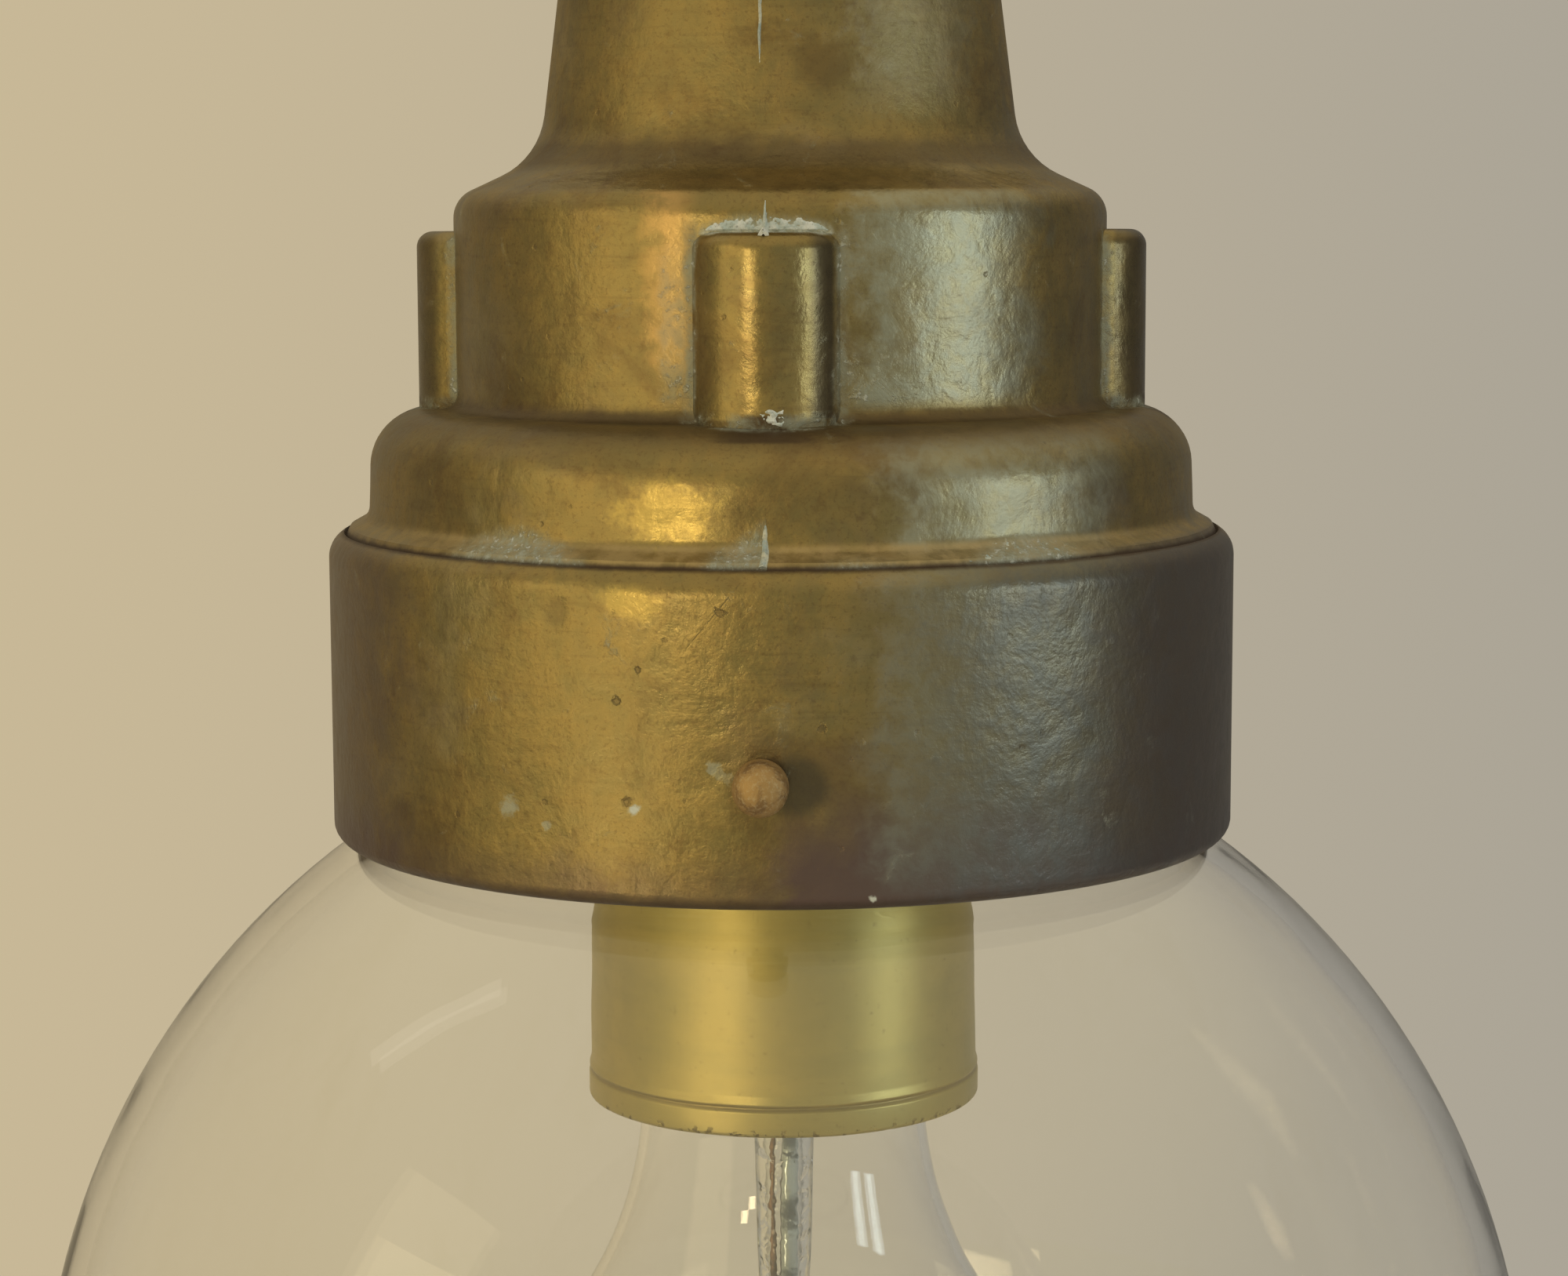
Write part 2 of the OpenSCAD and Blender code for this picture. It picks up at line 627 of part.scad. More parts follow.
module porcelain_holder() {
    color(china) at_lamp() difference() {
        turned([[0, porcelain_bottom, 0], [porcelain_r, porcelain_bottom, 1],
                [porcelain_r, porcelain_top, 0.8], [0, porcelain_top, 0]]);
        turned([[0, porcelain_bottom - overlap, 0], [shell_bore_r + 2.2, porcelain_bottom - overlap, 0],
                [shell_bore_r, shell_bottom, 0], [shell_bore_r, shell_top, 0], [0, shell_top, 0]]);
        intersection() {
            translate([0, 0, chamber_floor]) cylinder(r = chamber_r, h = chamber_h + overlap);
            translate([-chamber_r, -7, chamber_floor]) cube([2 * chamber_r, 14, chamber_h + overlap]);
        }
        for (s = [-1, 1])
            translate([0, s * bridge_screw_x, porcelain_top - bridge_screw_h - overlap])
                cylinder(r = bridge_screw_r + thread_gap, h = bridge_screw_h + 2 * overlap, $fn = 48);
        for (x = [contact_x, -shell_rivet_x])
            translate([x, 0, shell_top - overlap])
                cylinder(r = rivet_r + slip_gap, h = chamber_floor - shell_top + 2 * overlap, $fn = 48);
    }
}

module screw_shell() {
    color(bright_brass) at_lamp() difference() {
        translate([0, 0, shell_bottom]) cylinder(r = shell_r, h = shell_top - shell_bottom);
        translate([0, 0, shell_bottom - overlap])
            cylinder(r = shell_in_r, h = shell_top - shell_bottom - shell_wall + overlap);
        translate([0, 0, shell_top - 2 * shell_wall]) cylinder(r = shell_hole_r, h = 4 * shell_wall);
        translate([-shell_rivet_x, 0, shell_top - 2 * shell_wall])
            cylinder(r = rivet_r + slip_gap, h = 4 * shell_wall, $fn = 48);
    }
}

// A springy tongue on a rivet, bent down to press on the bulb
module centre_contact() {
    tongue_h = 0.5;
    color(bright_brass) at_lamp() {
        translate([contact_x, 0, shell_top - tongue_h])
            cylinder(r = rivet_r, h = chamber_floor - shell_top + tongue_h, $fn = 48);
        translate([0, 2, 0]) rotate([90, 0, 0]) linear_extrude(4) polygon([
            [contact_x + 2, shell_top], [contact_x - 1.8, shell_top], [1.6, tongue_z + tongue_h],
            [-3, tongue_z + tongue_h], [-3, tongue_z], [1.9, tongue_z],
            [contact_x - 1.5, shell_top - tongue_h], [contact_x + 2, shell_top - tongue_h]]);
    }
}

module holder_terminals() {
    color(bright_brass) at_lamp() for (s = [-1, 1])
        difference() {
            union() {
                translate([s * terminal_x - terminal_size.x / 2, -terminal_size.y / 2, chamber_floor])
                    cube(terminal_size);
                if (s < 0)
                    translate([-shell_rivet_x, 0, shell_top - shell_wall - 0.6])
                        cylinder(r = rivet_r, h = chamber_floor - shell_top + shell_wall + 1.6, $fn = 48);
                if (s > 0)
                    translate([contact_x - 2, -2, chamber_floor]) cube([4, 4, 0.6]);
            }
            translate([s * (terminal_x - terminal_size.x), 0, chamber_floor + 2.2])
                rotate([0, s * 90, 0]) cylinder(r = core_r + 0.05, h = terminal_size.x + 2, $fn = 32);
            translate([s * terminal_x, 0, chamber_floor + 2.2])
                cylinder(r = terminal_screw_r + thread_gap, h = terminal_size.z, $fn = 32);
        }
}

module holder_terminal_screws() {
    color(steel) at_lamp() for (s = [-1, 1])
        translate([s * terminal_x, 0, chamber_floor + 2.2 + core_r + 0.1])
            cylinder(r = terminal_screw_r, h = terminal_size.z - 2.2 - core_r + 0.6, $fn = 32);
}

// Wires: bare core in each terminal, then insulation through the nipple, bell and arm

module wire(side) {
    core_z = chamber_floor + 2.2;
    turn_r = 2.4;
    x = side * wire_x;
    bare_x = terminal_x - terminal_size.x / 2 - 0.4;
    lamp_up = drop - elbow_r;
    at_lamp() {
        rod([side * (terminal_x + 1.6), 0, core_z], [side * bare_x, 0, core_z], core_r - 0.1);
        rod([side * bare_x, 0, core_z], [x + side * turn_r, 0, core_z], wire_r);
        translate([x + side * turn_r, 0, core_z + turn_r]) rotate([90, 0, 0])
            rotate([0, 0, side > 0 ? 180 : 270])
                rotate_extrude(angle = 90) translate([turn_r, 0]) circle(r = wire_r, $fn = 32);
        rod([x, 0, core_z + turn_r], [x, 0, lamp_up], wire_r);
    }
    at_elbow() translate([0, 0, x])
        rotate_extrude(angle = 90) translate([elbow_r, 0]) circle(r = wire_r, $fn = 32);
    bend_y = -(pole_depth + wire_bend);
    bend_end = [x, -pole_depth, -wire_bend];
    pole = [side * pole_x, -pole_depth, block_top + 0.4];
    rod([x, -stub_end, 0], [x, bend_y, 0], wire_r);
    translate([x, bend_y, -wire_bend]) rotate([90, 0, 90])
        rotate_extrude(angle = 90) translate([wire_bend, 0]) circle(r = wire_r, $fn = 32);
    translate(bend_end) sphere(r = wire_r + 0.08, $fn = 32);
    rod(bend_end, pole, wire_r);
    translate(pole) sphere(r = wire_r + 0.08, $fn = 32);
    rod(pole, [pole.x, pole.y, block_top - 6], core_r - 0.1);
}

module live_wire() { color(live_colour) wire(1); }
module neutral_wire() { color(neutral_colour) wire(-1); }

// Terminal block in the wall flange

module at_pole(x, z) {
    translate([x, -pole_depth, z]) children();
}

module terminal_block() {
    color(china) difference() {
        translate([-block_size.x / 2, -block_front, block_top - block_size.z]) cube(block_size);
        for (s = [-1, 1]) {
            at_pole(s * pole_x, block_top - block_size.z - overlap)
                cylinder(r = insert_r + slip_gap, h = block_size.z + 2 * overlap, $fn = 48);
            for (z = [block_top - 4, block_top - block_size.z + 4])
                at_pole(s * pole_x, z) rotate([-90, 0, 0])
                    cylinder(r = terminal_screw_r + 0.3, h = block_size.y, $fn = 32);
        }
        at_pole(0, block_top - block_size.z / 2) rotate([90, 0, 0])
            translate([0, 0, -block_size.y]) cylinder(r = 1.7, h = 2 * block_size.y, $fn = 48);
    }
}

module terminal_inserts() {
    color(bright_brass) for (s = [-1, 1]) difference() {
        at_pole(s * pole_x, block_top - block_size.z + 1.5)
            cylinder(r = insert_r, h = block_size.z - 3, $fn = 48);
        at_pole(s * pole_x, block_top - block_size.z)
            cylinder(r = insert_bore_r, h = block_size.z, $fn = 48);
        for (z = [block_top - 4, block_top - block_size.z + 4])
            at_pole(s * pole_x, z) rotate([-90, 0, 0])
                cylinder(r = terminal_screw_r + thread_gap, h = block_size.y, $fn = 32);
    }
}

module terminal_screws() {
    color(steel) for (s = [-1, 1], z = [block_top - 4, block_top - block_size.z + 4])
        at_pole(s * pole_x, z) rotate([-90, 0, 0]) translate([0, 0, core_r + 0.2]) difference() {
            cylinder(r = terminal_screw_r, h = block_size.y / 2 - core_r - 1, $fn = 32);
            translate([-2, -0.25, block_size.y / 2 - core_r - 1.6]) cube([4, 0.5, 1]);
        }
}

module terminal_block_screw() {
    color(steel) translate([0, -block_front + block_size.y, block_top - block_size.z / 2])
        rotate([90, 0, 0]) cheese_screw(grub_r * 1.5, block_size.y + 3.5, 5.6, 2, 0.7);
}

module earth_screw() {
    color(bright_brass) translate([earth_x, -wiring_floor + 1, earth_z])
        rotate([90, 0, 0]) cheese_screw(grub_r * 2, 4, 7.4, 2.4, 0.9);
}

module earth_washer() {
    color(bright_brass) translate([earth_x, 0, earth_z]) from_wall()
        translate([0, 0, wiring_floor - 1]) difference() {
            cylinder(r = 4.4, h = 1, $fn = 48);
            translate([0, 0, -overlap]) cylinder(r = grub_r + slip_gap, h = 1 + 2 * overlap, $fn = 48);
        }
}

// Bulb

// The glass widens from a narrow neck into a ball; the same outline, set in, makes its inside
function bulb_outline(inset) =
    let (neck = bulb_neck_r - inset, mouth = bulb_mouth_r - inset)
    concat(
        ball_arc(bulb_r - inset, bulb_ball_z, -90, waist_turn),
        [for (p = ball_arc(waist_arc_r + inset, waist_z, 180 + waist_turn, 180))
            [p.x + bulb_neck_r + waist_arc_r, p.y]],
        corner_arc([neck, waist_z], [neck, waist_z + 2.4], [mouth, cap_bottom - 0.6], 1.6),
        corner_arc([neck, waist_z + 2.4], [mouth, cap_bottom - 0.6], [mouth, cap_bottom + 3], 0.4));

module bulb_glass() {
    color(clear_glass) at_lamp() rotate_extrude() difference() {
        polygon(concat(bulb_outline(0), [[bulb_mouth_r, cap_bottom + 3], [0, cap_bottom + 3]]));
        polygon(concat(bulb_outline(bulb_wall),
                       [[bulb_mouth_r - bulb_wall, cap_bottom + 3 + overlap], [0, cap_bottom + 3 + overlap]]));
    }
}

module bulb_cap() {
    color(steel) at_lamp() turned([
        [cap_r - 0.2, cap_bottom, 0], [cap_r, cap_bottom + 1.5, 0], [cap_r, cap_top - 4, 0.8],
        [8.5, cap_top, 0.8], [7, cap_top, 0], [7, cap_top - 0.4, 0],
        [8.2, cap_top - 0.4, 0], [cap_r - cap_wall, cap_top - 4.2, 0.5],
        [cap_r - cap_wall, cap_bottom + 1.5, 0], [bulb_mouth_r + 0.08, cap_bottom, 0]]);
}

module bulb_insulator() {
    color(black_glass) at_lamp() turned([
        [0, cap_top, 0], [8, cap_top, 0.4], [4.6, cap_top + insulator_h, 0.6],
        [0, cap_top + insulator_h, 0]]);
}

module bulb_contact() {
    color(steel) at_lamp() translate([0, 0, cap_top + insulator_h])
        turned([[0, 0, 0], [3.6, 0, 0], [3.2, pip_h, 0.7], [0, pip_h, 0]]);
}

// Glass stem: a flare sealed to the neck, a tapering tube, the flat press and the arbor
module bulb_stem() {
    color(clear_glass) at_lamp() {
        difference() {
            turned([[0, stem_bottom, 0], [stem_tip_r, stem_bottom, 0], [stem_r, cap_bottom - 6, 6],
                    [flare_r, cap_bottom + 1.5, 0], [0, cap_bottom + 1.5, 0]]);
            turned([[0, stem_bottom + 2, 0], [stem_tip_r - stem_wall, stem_bottom + 2, 0],
                    [stem_r - stem_wall, cap_bottom - 5.5, 5], [flare_r - stem_wall, cap_bottom + 2, 0],
                    [0, cap_bottom + 2, 0]]);
        }
        translate([-3.6, -1.5, lead_top]) cube([7.2, 3, press_h + 0.5]);
        translate([0, 0, filament_z + 6]) cylinder(r = arbor_r, h = lead_top - filament_z - 5.5, $fn = 32);
        translate([0, 0, filament_z + 6]) sphere(r = 2, $fn = 32);
    }
}

module bulb_leads() {
    color(steel) at_lamp() for (s = [-1, 1]) {
        rod([s * lead_x, 0, lead_top - 3], [s * lead_x, 0, lead_top], lead_r, 24);
        translate([s * lead_x, 0, lead_top - 3]) sphere(r = lead_r + 0.06, $fn = 24);
        rod([s * lead_x, 0, lead_top - 3], [s * filament_r, 0, filament_z], lead_r, 24);
        translate([s * filament_r, 0, filament_z]) sphere(r = lead_r + 0.25, $fn = 24);
    }
}

module bulb_supports() {
    color(tungsten) at_lamp() for (a = [45, 90, 135])
        rod([2.1 * cos(a), 2.1 * sin(a), filament_z + 6],
            [(filament_r - 0.7) * cos(a), (filament_r - 0.7) * sin(a), filament_z + 0.1], 0.2, 16);
}

// The filament hangs in a half ring from lead to lead
module bulb_filament() {
    trim = 4;
    color(tungsten) at_lamp() translate([0, 0, filament_z]) rotate([0, 0, trim])
        rotate_extrude(angle = 180 - 2 * trim)
            translate([filament_r, 0]) circle(r = filament_rod_r, $fn = 24);
}

wall_flange();
arm_casting();
bell_casting();
wall_gasket();
neck_grub_screw();
terminal_block();
terminal_inserts();
terminal_screws();
terminal_block_screw();
earth_screw();
earth_washer();
live_wire();
neutral_wire();
holder_plate();
plate_screws();
nipple();
plate_nuts();
cup_nut();
socket_cup();
holder_bridge();
bridge_screws();
porcelain_holder();
screw_shell();
centre_contact();
holder_terminals();
holder_terminal_screws();
glass_globe();
set_screw(set_angles[0]);  // set_screw_front
set_screw(set_angles[2]);  // set_screw_left
set_screw(set_angles[1]);  // set_screw_right
bulb_glass();
bulb_cap();
bulb_insulator();
bulb_contact();
bulb_stem();
bulb_leads();
bulb_supports();
bulb_filament();
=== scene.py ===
import json
import math
import bpy
from mathutils import Matrix, Vector, noise


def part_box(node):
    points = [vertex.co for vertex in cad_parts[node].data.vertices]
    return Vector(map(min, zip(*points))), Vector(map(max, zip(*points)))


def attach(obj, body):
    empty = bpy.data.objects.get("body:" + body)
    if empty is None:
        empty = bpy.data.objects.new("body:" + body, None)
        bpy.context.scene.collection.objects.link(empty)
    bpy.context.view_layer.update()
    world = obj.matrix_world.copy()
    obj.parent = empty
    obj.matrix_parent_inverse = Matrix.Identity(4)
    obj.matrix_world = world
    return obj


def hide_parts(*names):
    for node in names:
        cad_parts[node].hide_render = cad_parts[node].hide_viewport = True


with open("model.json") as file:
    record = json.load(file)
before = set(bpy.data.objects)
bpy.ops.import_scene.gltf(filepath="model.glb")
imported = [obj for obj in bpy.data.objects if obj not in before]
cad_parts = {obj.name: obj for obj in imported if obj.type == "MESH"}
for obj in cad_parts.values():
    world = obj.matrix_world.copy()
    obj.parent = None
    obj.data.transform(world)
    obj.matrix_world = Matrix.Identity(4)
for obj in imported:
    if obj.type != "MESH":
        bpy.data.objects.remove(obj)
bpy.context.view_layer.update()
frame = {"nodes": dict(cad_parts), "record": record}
nodes = frame["nodes"]
bpy.ops.object.select_all(action="DESELECT")
print("frame loaded:", len(nodes), "nodes")

bellLow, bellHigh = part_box("bell_casting")
# mm: the middle of the collar's lower edge; new pieces and marks are measured from here
lampOrigin = (0.0, 500.0 * (bellLow.y + bellHigh.y), 1000.0 * bellLow.z)
print("the collar's edge is at", [round(value, 1) for value in lampOrigin], "mm")


# Shader sums: Value wraps a socket, Finish is one material


class Value:
    def __init__(self, finish, socket):
        self.finish, self.socket = finish, socket

    def math(self, operation, *others):
        return self.finish.add("ShaderNodeMath", {"operation": operation}, dict(enumerate((self,) + others)))

    def __add__(self, other):
        return self.math("ADD", other)

    __radd__ = __add__

    def __mul__(self, other):
        return self.math("MULTIPLY", other)

    def __sub__(self, other):
        return self.math("SUBTRACT", other)

    def __rsub__(self, other):
        return self * -1.0 + other

    def __truediv__(self, other):
        return self.math("DIVIDE", other)

    def __pow__(self, other):
        return self.math("POWER", other)

    def __abs__(self):
        return self.math("ABSOLUTE")

    def most(self, other):
        return self.math("MAXIMUM", other)

    def least(self, other):
        return self.math("MINIMUM", other)

    def rise(self, low, high):  # 0 at low, 1 at high, eased; low may be the larger
        return self.finish.add("ShaderNodeMapRange", {"interpolation_type": "SMOOTHSTEP"},
                               {"Value": self, "From Min": low, "From Max": high})

    def near(self, middle, half):  # 1 at middle, 0 beyond half on either side
        return abs(self - middle).rise(half, 0.0)

    def within(self, low, high, edge):  # 1 from low to high, faded over edge outside
        return self.rise(low - edge, low) * self.rise(high + edge, high)


class Finish:
    def __init__(self, name, kind="materials"):
        self.material = getattr(bpy.data, kind).new(name)
        self.material.use_nodes = True
        self.tree = self.material.node_tree
        self.tree.nodes.clear()

    def add(self, kind, settings=None, values=None, output=0):
        node = self.tree.nodes.new(kind)
        for key, value in (settings or {}).items():
            setattr(node, key, value)
        for key, value in (values or {}).items():
            if isinstance(value, Value):
                self.tree.links.new(value.socket, node.inputs[key])
            else:
                node.inputs[key].default_value = value
        return Value(self, node.outputs[output]) if len(node.outputs) else None

    def place(self, origin=(0, 0, 0), stretch=(1, 1, 1)):  # object coordinates in mm, from an origin
        coordinates = self.add("ShaderNodeTexCoord", output=3)
        moved = tuple(-o * s for o, s in zip(origin, stretch))
        return self.add("ShaderNodeMapping", {}, {0: coordinates, 1: moved, 3: tuple(1000.0 * s for s in stretch)})

    def parts(self, vector):
        split = self.tree.nodes.new("ShaderNodeSeparateXYZ")
        self.tree.links.new(vector.socket, split.inputs[0])
        return [Value(self, split.outputs[i]) for i in range(3)]

    def noise(self, vector, size, detail=3.0, roughness=0.55, distortion=0.0):  # size is one blotch, in mm
        return self.add("ShaderNodeTexNoise", {}, {"Vector": vector, "Scale": 1.0 / size, "Detail": detail,
                                                   "Roughness": roughness, "Distortion": distortion})

    def cells(self, vector, size):
        return self.add("ShaderNodeTexVoronoi", {}, {"Vector": vector, "Scale": 1.0 / size, "Randomness": 1.0})

    def mix(self, factor, first, second):
        return self.add("ShaderNodeMix", {"data_type": "RGBA"}, {0: factor, 6: first, 7: second}, 2)

    def bump(self, height):  # height in mm
        return self.add("ShaderNodeBump", {}, {"Strength": 1.0, "Distance": 0.001, "Height": height})

    def principled(self, values):
        return self.add("ShaderNodeBsdfPrincipled", {}, {key.replace("_", " "): value for key, value in values.items()})

    def surface(self, **values):
        self.add("ShaderNodeOutputMaterial", {}, {"Surface": self.principled(values)})
        return self.material

    def glass(self, **values):  # shadow rays pass, so light reaches what is inside
        shader = self.principled(values)
        clear = self.add("ShaderNodeBsdfTransparent", {}, {"Color": (0.96, 0.97, 0.95, 1)})
        shadowRay = self.add("ShaderNodeLightPath", output=1)
        both = self.add("ShaderNodeMixShader", {}, {0: shadowRay, 1: shader, 2: clear})
        self.add("ShaderNodeOutputMaterial", {}, {"Surface": both})
        return self.material


def rgb(red, green, blue):
    return (red, green, blue, 1.0)


def dress(material, *names):
    for name in names:
        mesh = nodes[name].data
        mesh.materials.clear()
        mesh.materials.append(material)


# Cast brass, unpolished for decades; heights, distances and sizes of marks are in mm

# Some of these colours are laid as painted light: shadow, blue-grey and the plum at the collar's edges as painted
# shade, crease as dirt and painted shade, grey-green on the right as painted cool light, rubbed and copper as painted
# highlights
castBrass = {
    "body": rgb(0.330, 0.235, 0.085), "olive": rgb(0.250, 0.195, 0.080), "brown": rgb(0.165, 0.108, 0.048),
    "plum": rgb(0.150, 0.102, 0.085), "greyGreen": rgb(0.355, 0.370, 0.295), "dust": rgb(0.400, 0.290, 0.120),
    "rubbed": rgb(0.700, 0.500, 0.140), "copperAndHighlight": rgb(0.528, 0.336, 0.132), "blueGrey": rgb(0.108, 0.116, 0.118),
    "paleGreen": rgb(0.400, 0.430, 0.350), "shadow": rgb(0.085, 0.072, 0.050), "crease": rgb(0.060, 0.036, 0.018),
    "verdigris": rgb(0.265, 0.285, 0.205), "crust": rgb(0.56, 0.57, 0.46), "metallic": 0.92, "roughness": 0.335,
}
castNoise = {  # size of a blotch, detail, roughness, distortion
    "wide": (26.0, 3.0, 0.55, 0.5), "cloud": (8.0, 5.0, 0.6, 0.5), "mottle": (2.2, 5.0, 0.62, 0.3),
    "grain": (0.75, 4.0, 0.62), "stain": (13.0, 6.0, 0.64, 0.7), "smallStain": (3.2, 5.0, 0.66), "speckle": (0.42, 3.0, 0.7),
    "purple": (17.0, 4.0, 0.6, 0.8), "greyed": (20.0, 4.0, 0.6, 0.6), "patchy": (4.0, 6.0, 0.7, 0.5),
}
bellCreases = [  # rings that hold dirt, laid darker also as painted shade
    {"radius": 46.15, "height": 32.1, "half": 0.85, "dark": 1.0},
    {"radius": 35.0, "height": 45.2, "half": 2.0, "dark": 0.7},
    {"radius": 27.0, "height": 71.3, "half": 3.0, "dark": 0.55},
    {"radius": 22.7, "height": 93.8, "half": 1.2, "dark": 0.7},
    {"radius": 47.7, "height": -0.1, "half": 1.6, "dark": 0.75},
]
armCreases = [
    {"radius": 46.3, "height": 10.6, "half": 1.6, "dark": 0.8},
    {"radius": 31.0, "height": 22.7, "half": 1.2, "dark": 0.8},
    {"radius": 23.2, "height": 27.4, "half": 2.2, "dark": 0.4},
]
darkSpots = [  # full inside inner, gone at outer
    {"x": 5.0, "z": 80.0, "outer": 4.0, "inner": 1.0, "ragged": 0.4},
    {"x": 13.0, "z": 42.5, "outer": 4.5, "inner": 1.5, "ragged": 0.35},
]
rubbedSpots = [  # painted highlights, a little smoother as if rubbed: one on the tier, one on the collar's upper edge
    {"x": -9.0, "z": 37.4, "wide": 5.2, "high": 3.5, "mottle": 1.4, "grain": 0.9, "inner": 0.50},
    {"x": -12.2, "z": 29.2, "wide": 3.2, "high": 1.9, "mottle": 1.2, "grain": 0.8, "inner": 0.45},
]
collarPits = [  # ragged: how far the outline wanders; pale: how far it is filled, 1 with white, less with pale green
    {"x": -24.8, "z": 8.9, "half": 1.15, "ragged": 1.3, "pale": 0.50},
    {"x": -12.1, "z": 9.6, "half": 0.60, "ragged": 0.8, "pale": 1.0},
    {"x": -12.8, "z": 10.3, "half": 0.55, "ragged": 0.5},
    {"x": -20.9, "z": 7.5, "half": 0.50, "ragged": 0.9, "pale": 0.40},
    {"x": -4.7, "z": 13.9, "half": 0.50, "ragged": 1.0, "pale": 0.42},
    {"x": -4.0, "z": 13.3, "half": 0.45, "ragged": 1.2, "pale": 0.26},
    {"x": -3.3, "z": 12.7, "half": 0.50, "ragged": 1.2, "pale": 0.18},
    {"x": 10.4, "z": 1.1, "half": 0.38, "ragged": 0.7, "pale": 1.0},
    {"x": -13.7, "z": 19.9, "half": 0.42, "ragged": 0.9},
    {"x": -11.6, "z": 22.9, "half": 0.30, "ragged": 0.6},
    {"x": 5.6, "z": 17.5, "half": 0.50, "ragged": 1.0},
    {"x": -3.6, "z": 28.6, "half": 0.55, "ragged": 1.6},
]


def apart(first, second):  # how far a point is from where both differences are nought
    return (first * first + second * second) ** 0.5


class Casting:  # a casting's measures, noises and layers, which the functions below add to
    def __init__(self, name, origin, alongWall):
        f = self.finish = Finish(name)
        self.origin, self.spot = origin, f.place(origin)
        self.x, self.y, self.z = f.parts(self.spot)
        if alongWall:  # the arm and flange turn about a line square to the wall
            self.radius, self.height = apart(self.x, self.z), self.y * -1.0
        else:
            self.radius, self.height = apart(self.x, self.y), self.z
        for key in ("wide", "cloud", "mottle", "grain", "patchy"):
            setattr(self, key, self.noise(key))
        self.streak = f.noise(f.place(origin, (0.10, 1.4, 0.10) if alongWall else (0.10, 0.10, 1.4)), 1.0, 4.0, 0.6)

    def noise(self, key):
        return self.finish.noise(self.spot, *castNoise[key])

    def tint(self, factor, key):  # lays one of the brass's colours over the present one
        self.colour = self.finish.mix(factor, self.colour, castBrass[key])


def castGround(c):  # olive gold, stained and speckled with brown
    handled = c.mottle.rise(0.38, 0.62) * 0.45 + c.cloud.rise(0.36, 0.64) * 0.55
    c.colour = c.finish.mix(handled, castBrass["olive"], castBrass["body"])
    stains = c.noise("stain").rise(0.50, 0.68) * 0.55 + c.noise("smallStain").rise(0.55, 0.70) * 0.35
    speckle = c.noise("speckle")
    c.tint(stains.least(1.0), "brown")
    c.tint(c.streak.rise(0.52, 0.72) * 0.28, "brown")
    c.tint(speckle.rise(0.46, 0.34) * 0.35, "olive")
    c.tint(speckle.rise(0.52, 0.68) * 0.45, "brown")
    c.purple = c.noise("purple").rise(0.52, 0.70) * 0.45
    c.greyed = c.noise("greyed").rise(0.56, 0.72) * 0.45


def bellParts(c):  # masks of the bell's own parts, and of its front
    c.rag = (c.cloud - 0.5) * 12.0 + (c.mottle - 0.5) * 5.0
    c.wander = (c.mottle - 0.5) * 2.2
    c.front = (c.y + c.rag * 1.5).rise(9.0, -13.0)
    c.sideX, c.lowZ = c.x + c.rag, c.z + c.rag * 0.4
    c.collarFace = c.radius.rise(45.0, 46.5)
    c.tierFace = c.radius.rise(40.0, 42.0) * c.z.within(33.5, 44.0, 1.0)
    c.drumFace = c.radius.within(33.4, 35.4, 0.8) * c.z.rise(46.0, 48.0) * c.z.rise(70.0, 67.0)
    c.across = abs(c.x).least(abs(c.y))
    c.fromBoss = apart(abs(c.x).most(abs(c.y)) - 31.0, c.across)
    c.bosses = c.fromBoss.rise(8.3, 7.9) * c.radius.rise(35.2, 35.8) * c.height.within(46.0, 63.8, 0.4)


def frontStainsAndLight(c):  # plum, grey-green, blue-grey and copper, where they lie on the front: plum stains and brown spots, with painted shade, painted cool light and a painted highlight among them
    sideX, z = c.sideX, c.z
    lowPlum = sideX.within(5.0, 30.0, 6.0) * c.lowZ.rise(13.0, 5.0) * 0.85
    # painted shade: the collar laid darker in plum towards its left and right edges and its bottom
    edgePlumShade = sideX.rise(-33.0, -43.0) * 0.55 + c.lowZ.rise(7.0, 0.5) * 0.45 + sideX.rise(29.0, 40.0) * 0.65
    c.purple = c.purple * 0.5 + c.front * c.collarFace * (lowPlum + edgePlumShade)
    # painted cool light: the right of the collar, tier, drum and neck tinted grey-green
    greyCoolLightRight = sideX.within(15.0, 30.0, 6.0) * (z.within(5.0, 31.0, 5.0) * 0.75).most(z.within(34.0, 43.0, 2.0))
    greyCoolLightRight = greyCoolLightRight.most(c.drumFace * sideX.within(11.0, 23.0, 5.0) * 1.1)
    greyCoolLightRight = greyCoolLightRight.most(sideX.within(9.0, 18.0, 3.0) * z.rise(74.0, 80.0) * 0.45)
    c.greyed = (c.greyed * 0.4 + c.front * greyCoolLightRight * 0.62).least(1.0)
    # painted shade: the collar's right side darkened to blue-grey
    c.blued = c.front * c.collarFace * sideX.rise(6.0, 26.0) * 0.74
    # a copper stripe on the drum left of the boss, brightened as a painted highlight
    copperAndHighlight = (c.x + (c.mottle - 0.5) * 4.0).near(-9.4, 3.4) * z.rise(48.0, 53.0)
    copperAndHighlight = copperAndHighlight * (c.mottle.rise(0.3, 0.6) * 0.6 + 0.4)
    c.tint(c.front * c.drumFace * copperAndHighlight * 0.85, "copperAndHighlight")
    spots = [(apart(c.x - mark["x"], z - mark["z"]) + c.rag * mark["ragged"]).rise(mark["outer"], mark["inner"])
             for mark in darkSpots]
    c.tint(spots[0].most(spots[1]) * c.front * 0.6, "brown")


def creaseDirtAndShade(c, creases):  # dirt and painted shade darkening the creases, and a little verdigris in patches
    c.dirt = None
    for crease in creases:
        half = crease["half"]
        ring = apart(c.radius - crease["radius"], c.height - crease["height"]) + (c.mottle - 0.5) * half * 0.5
        ring = ring.rise(half, half * 0.25) * crease["dark"]
        c.dirt = c.dirt.most(ring) if c.dirt else ring
    c.bloom = c.patchy.rise(0.60, 0.74) * c.cloud.rise(0.45, 0.6) * 0.35


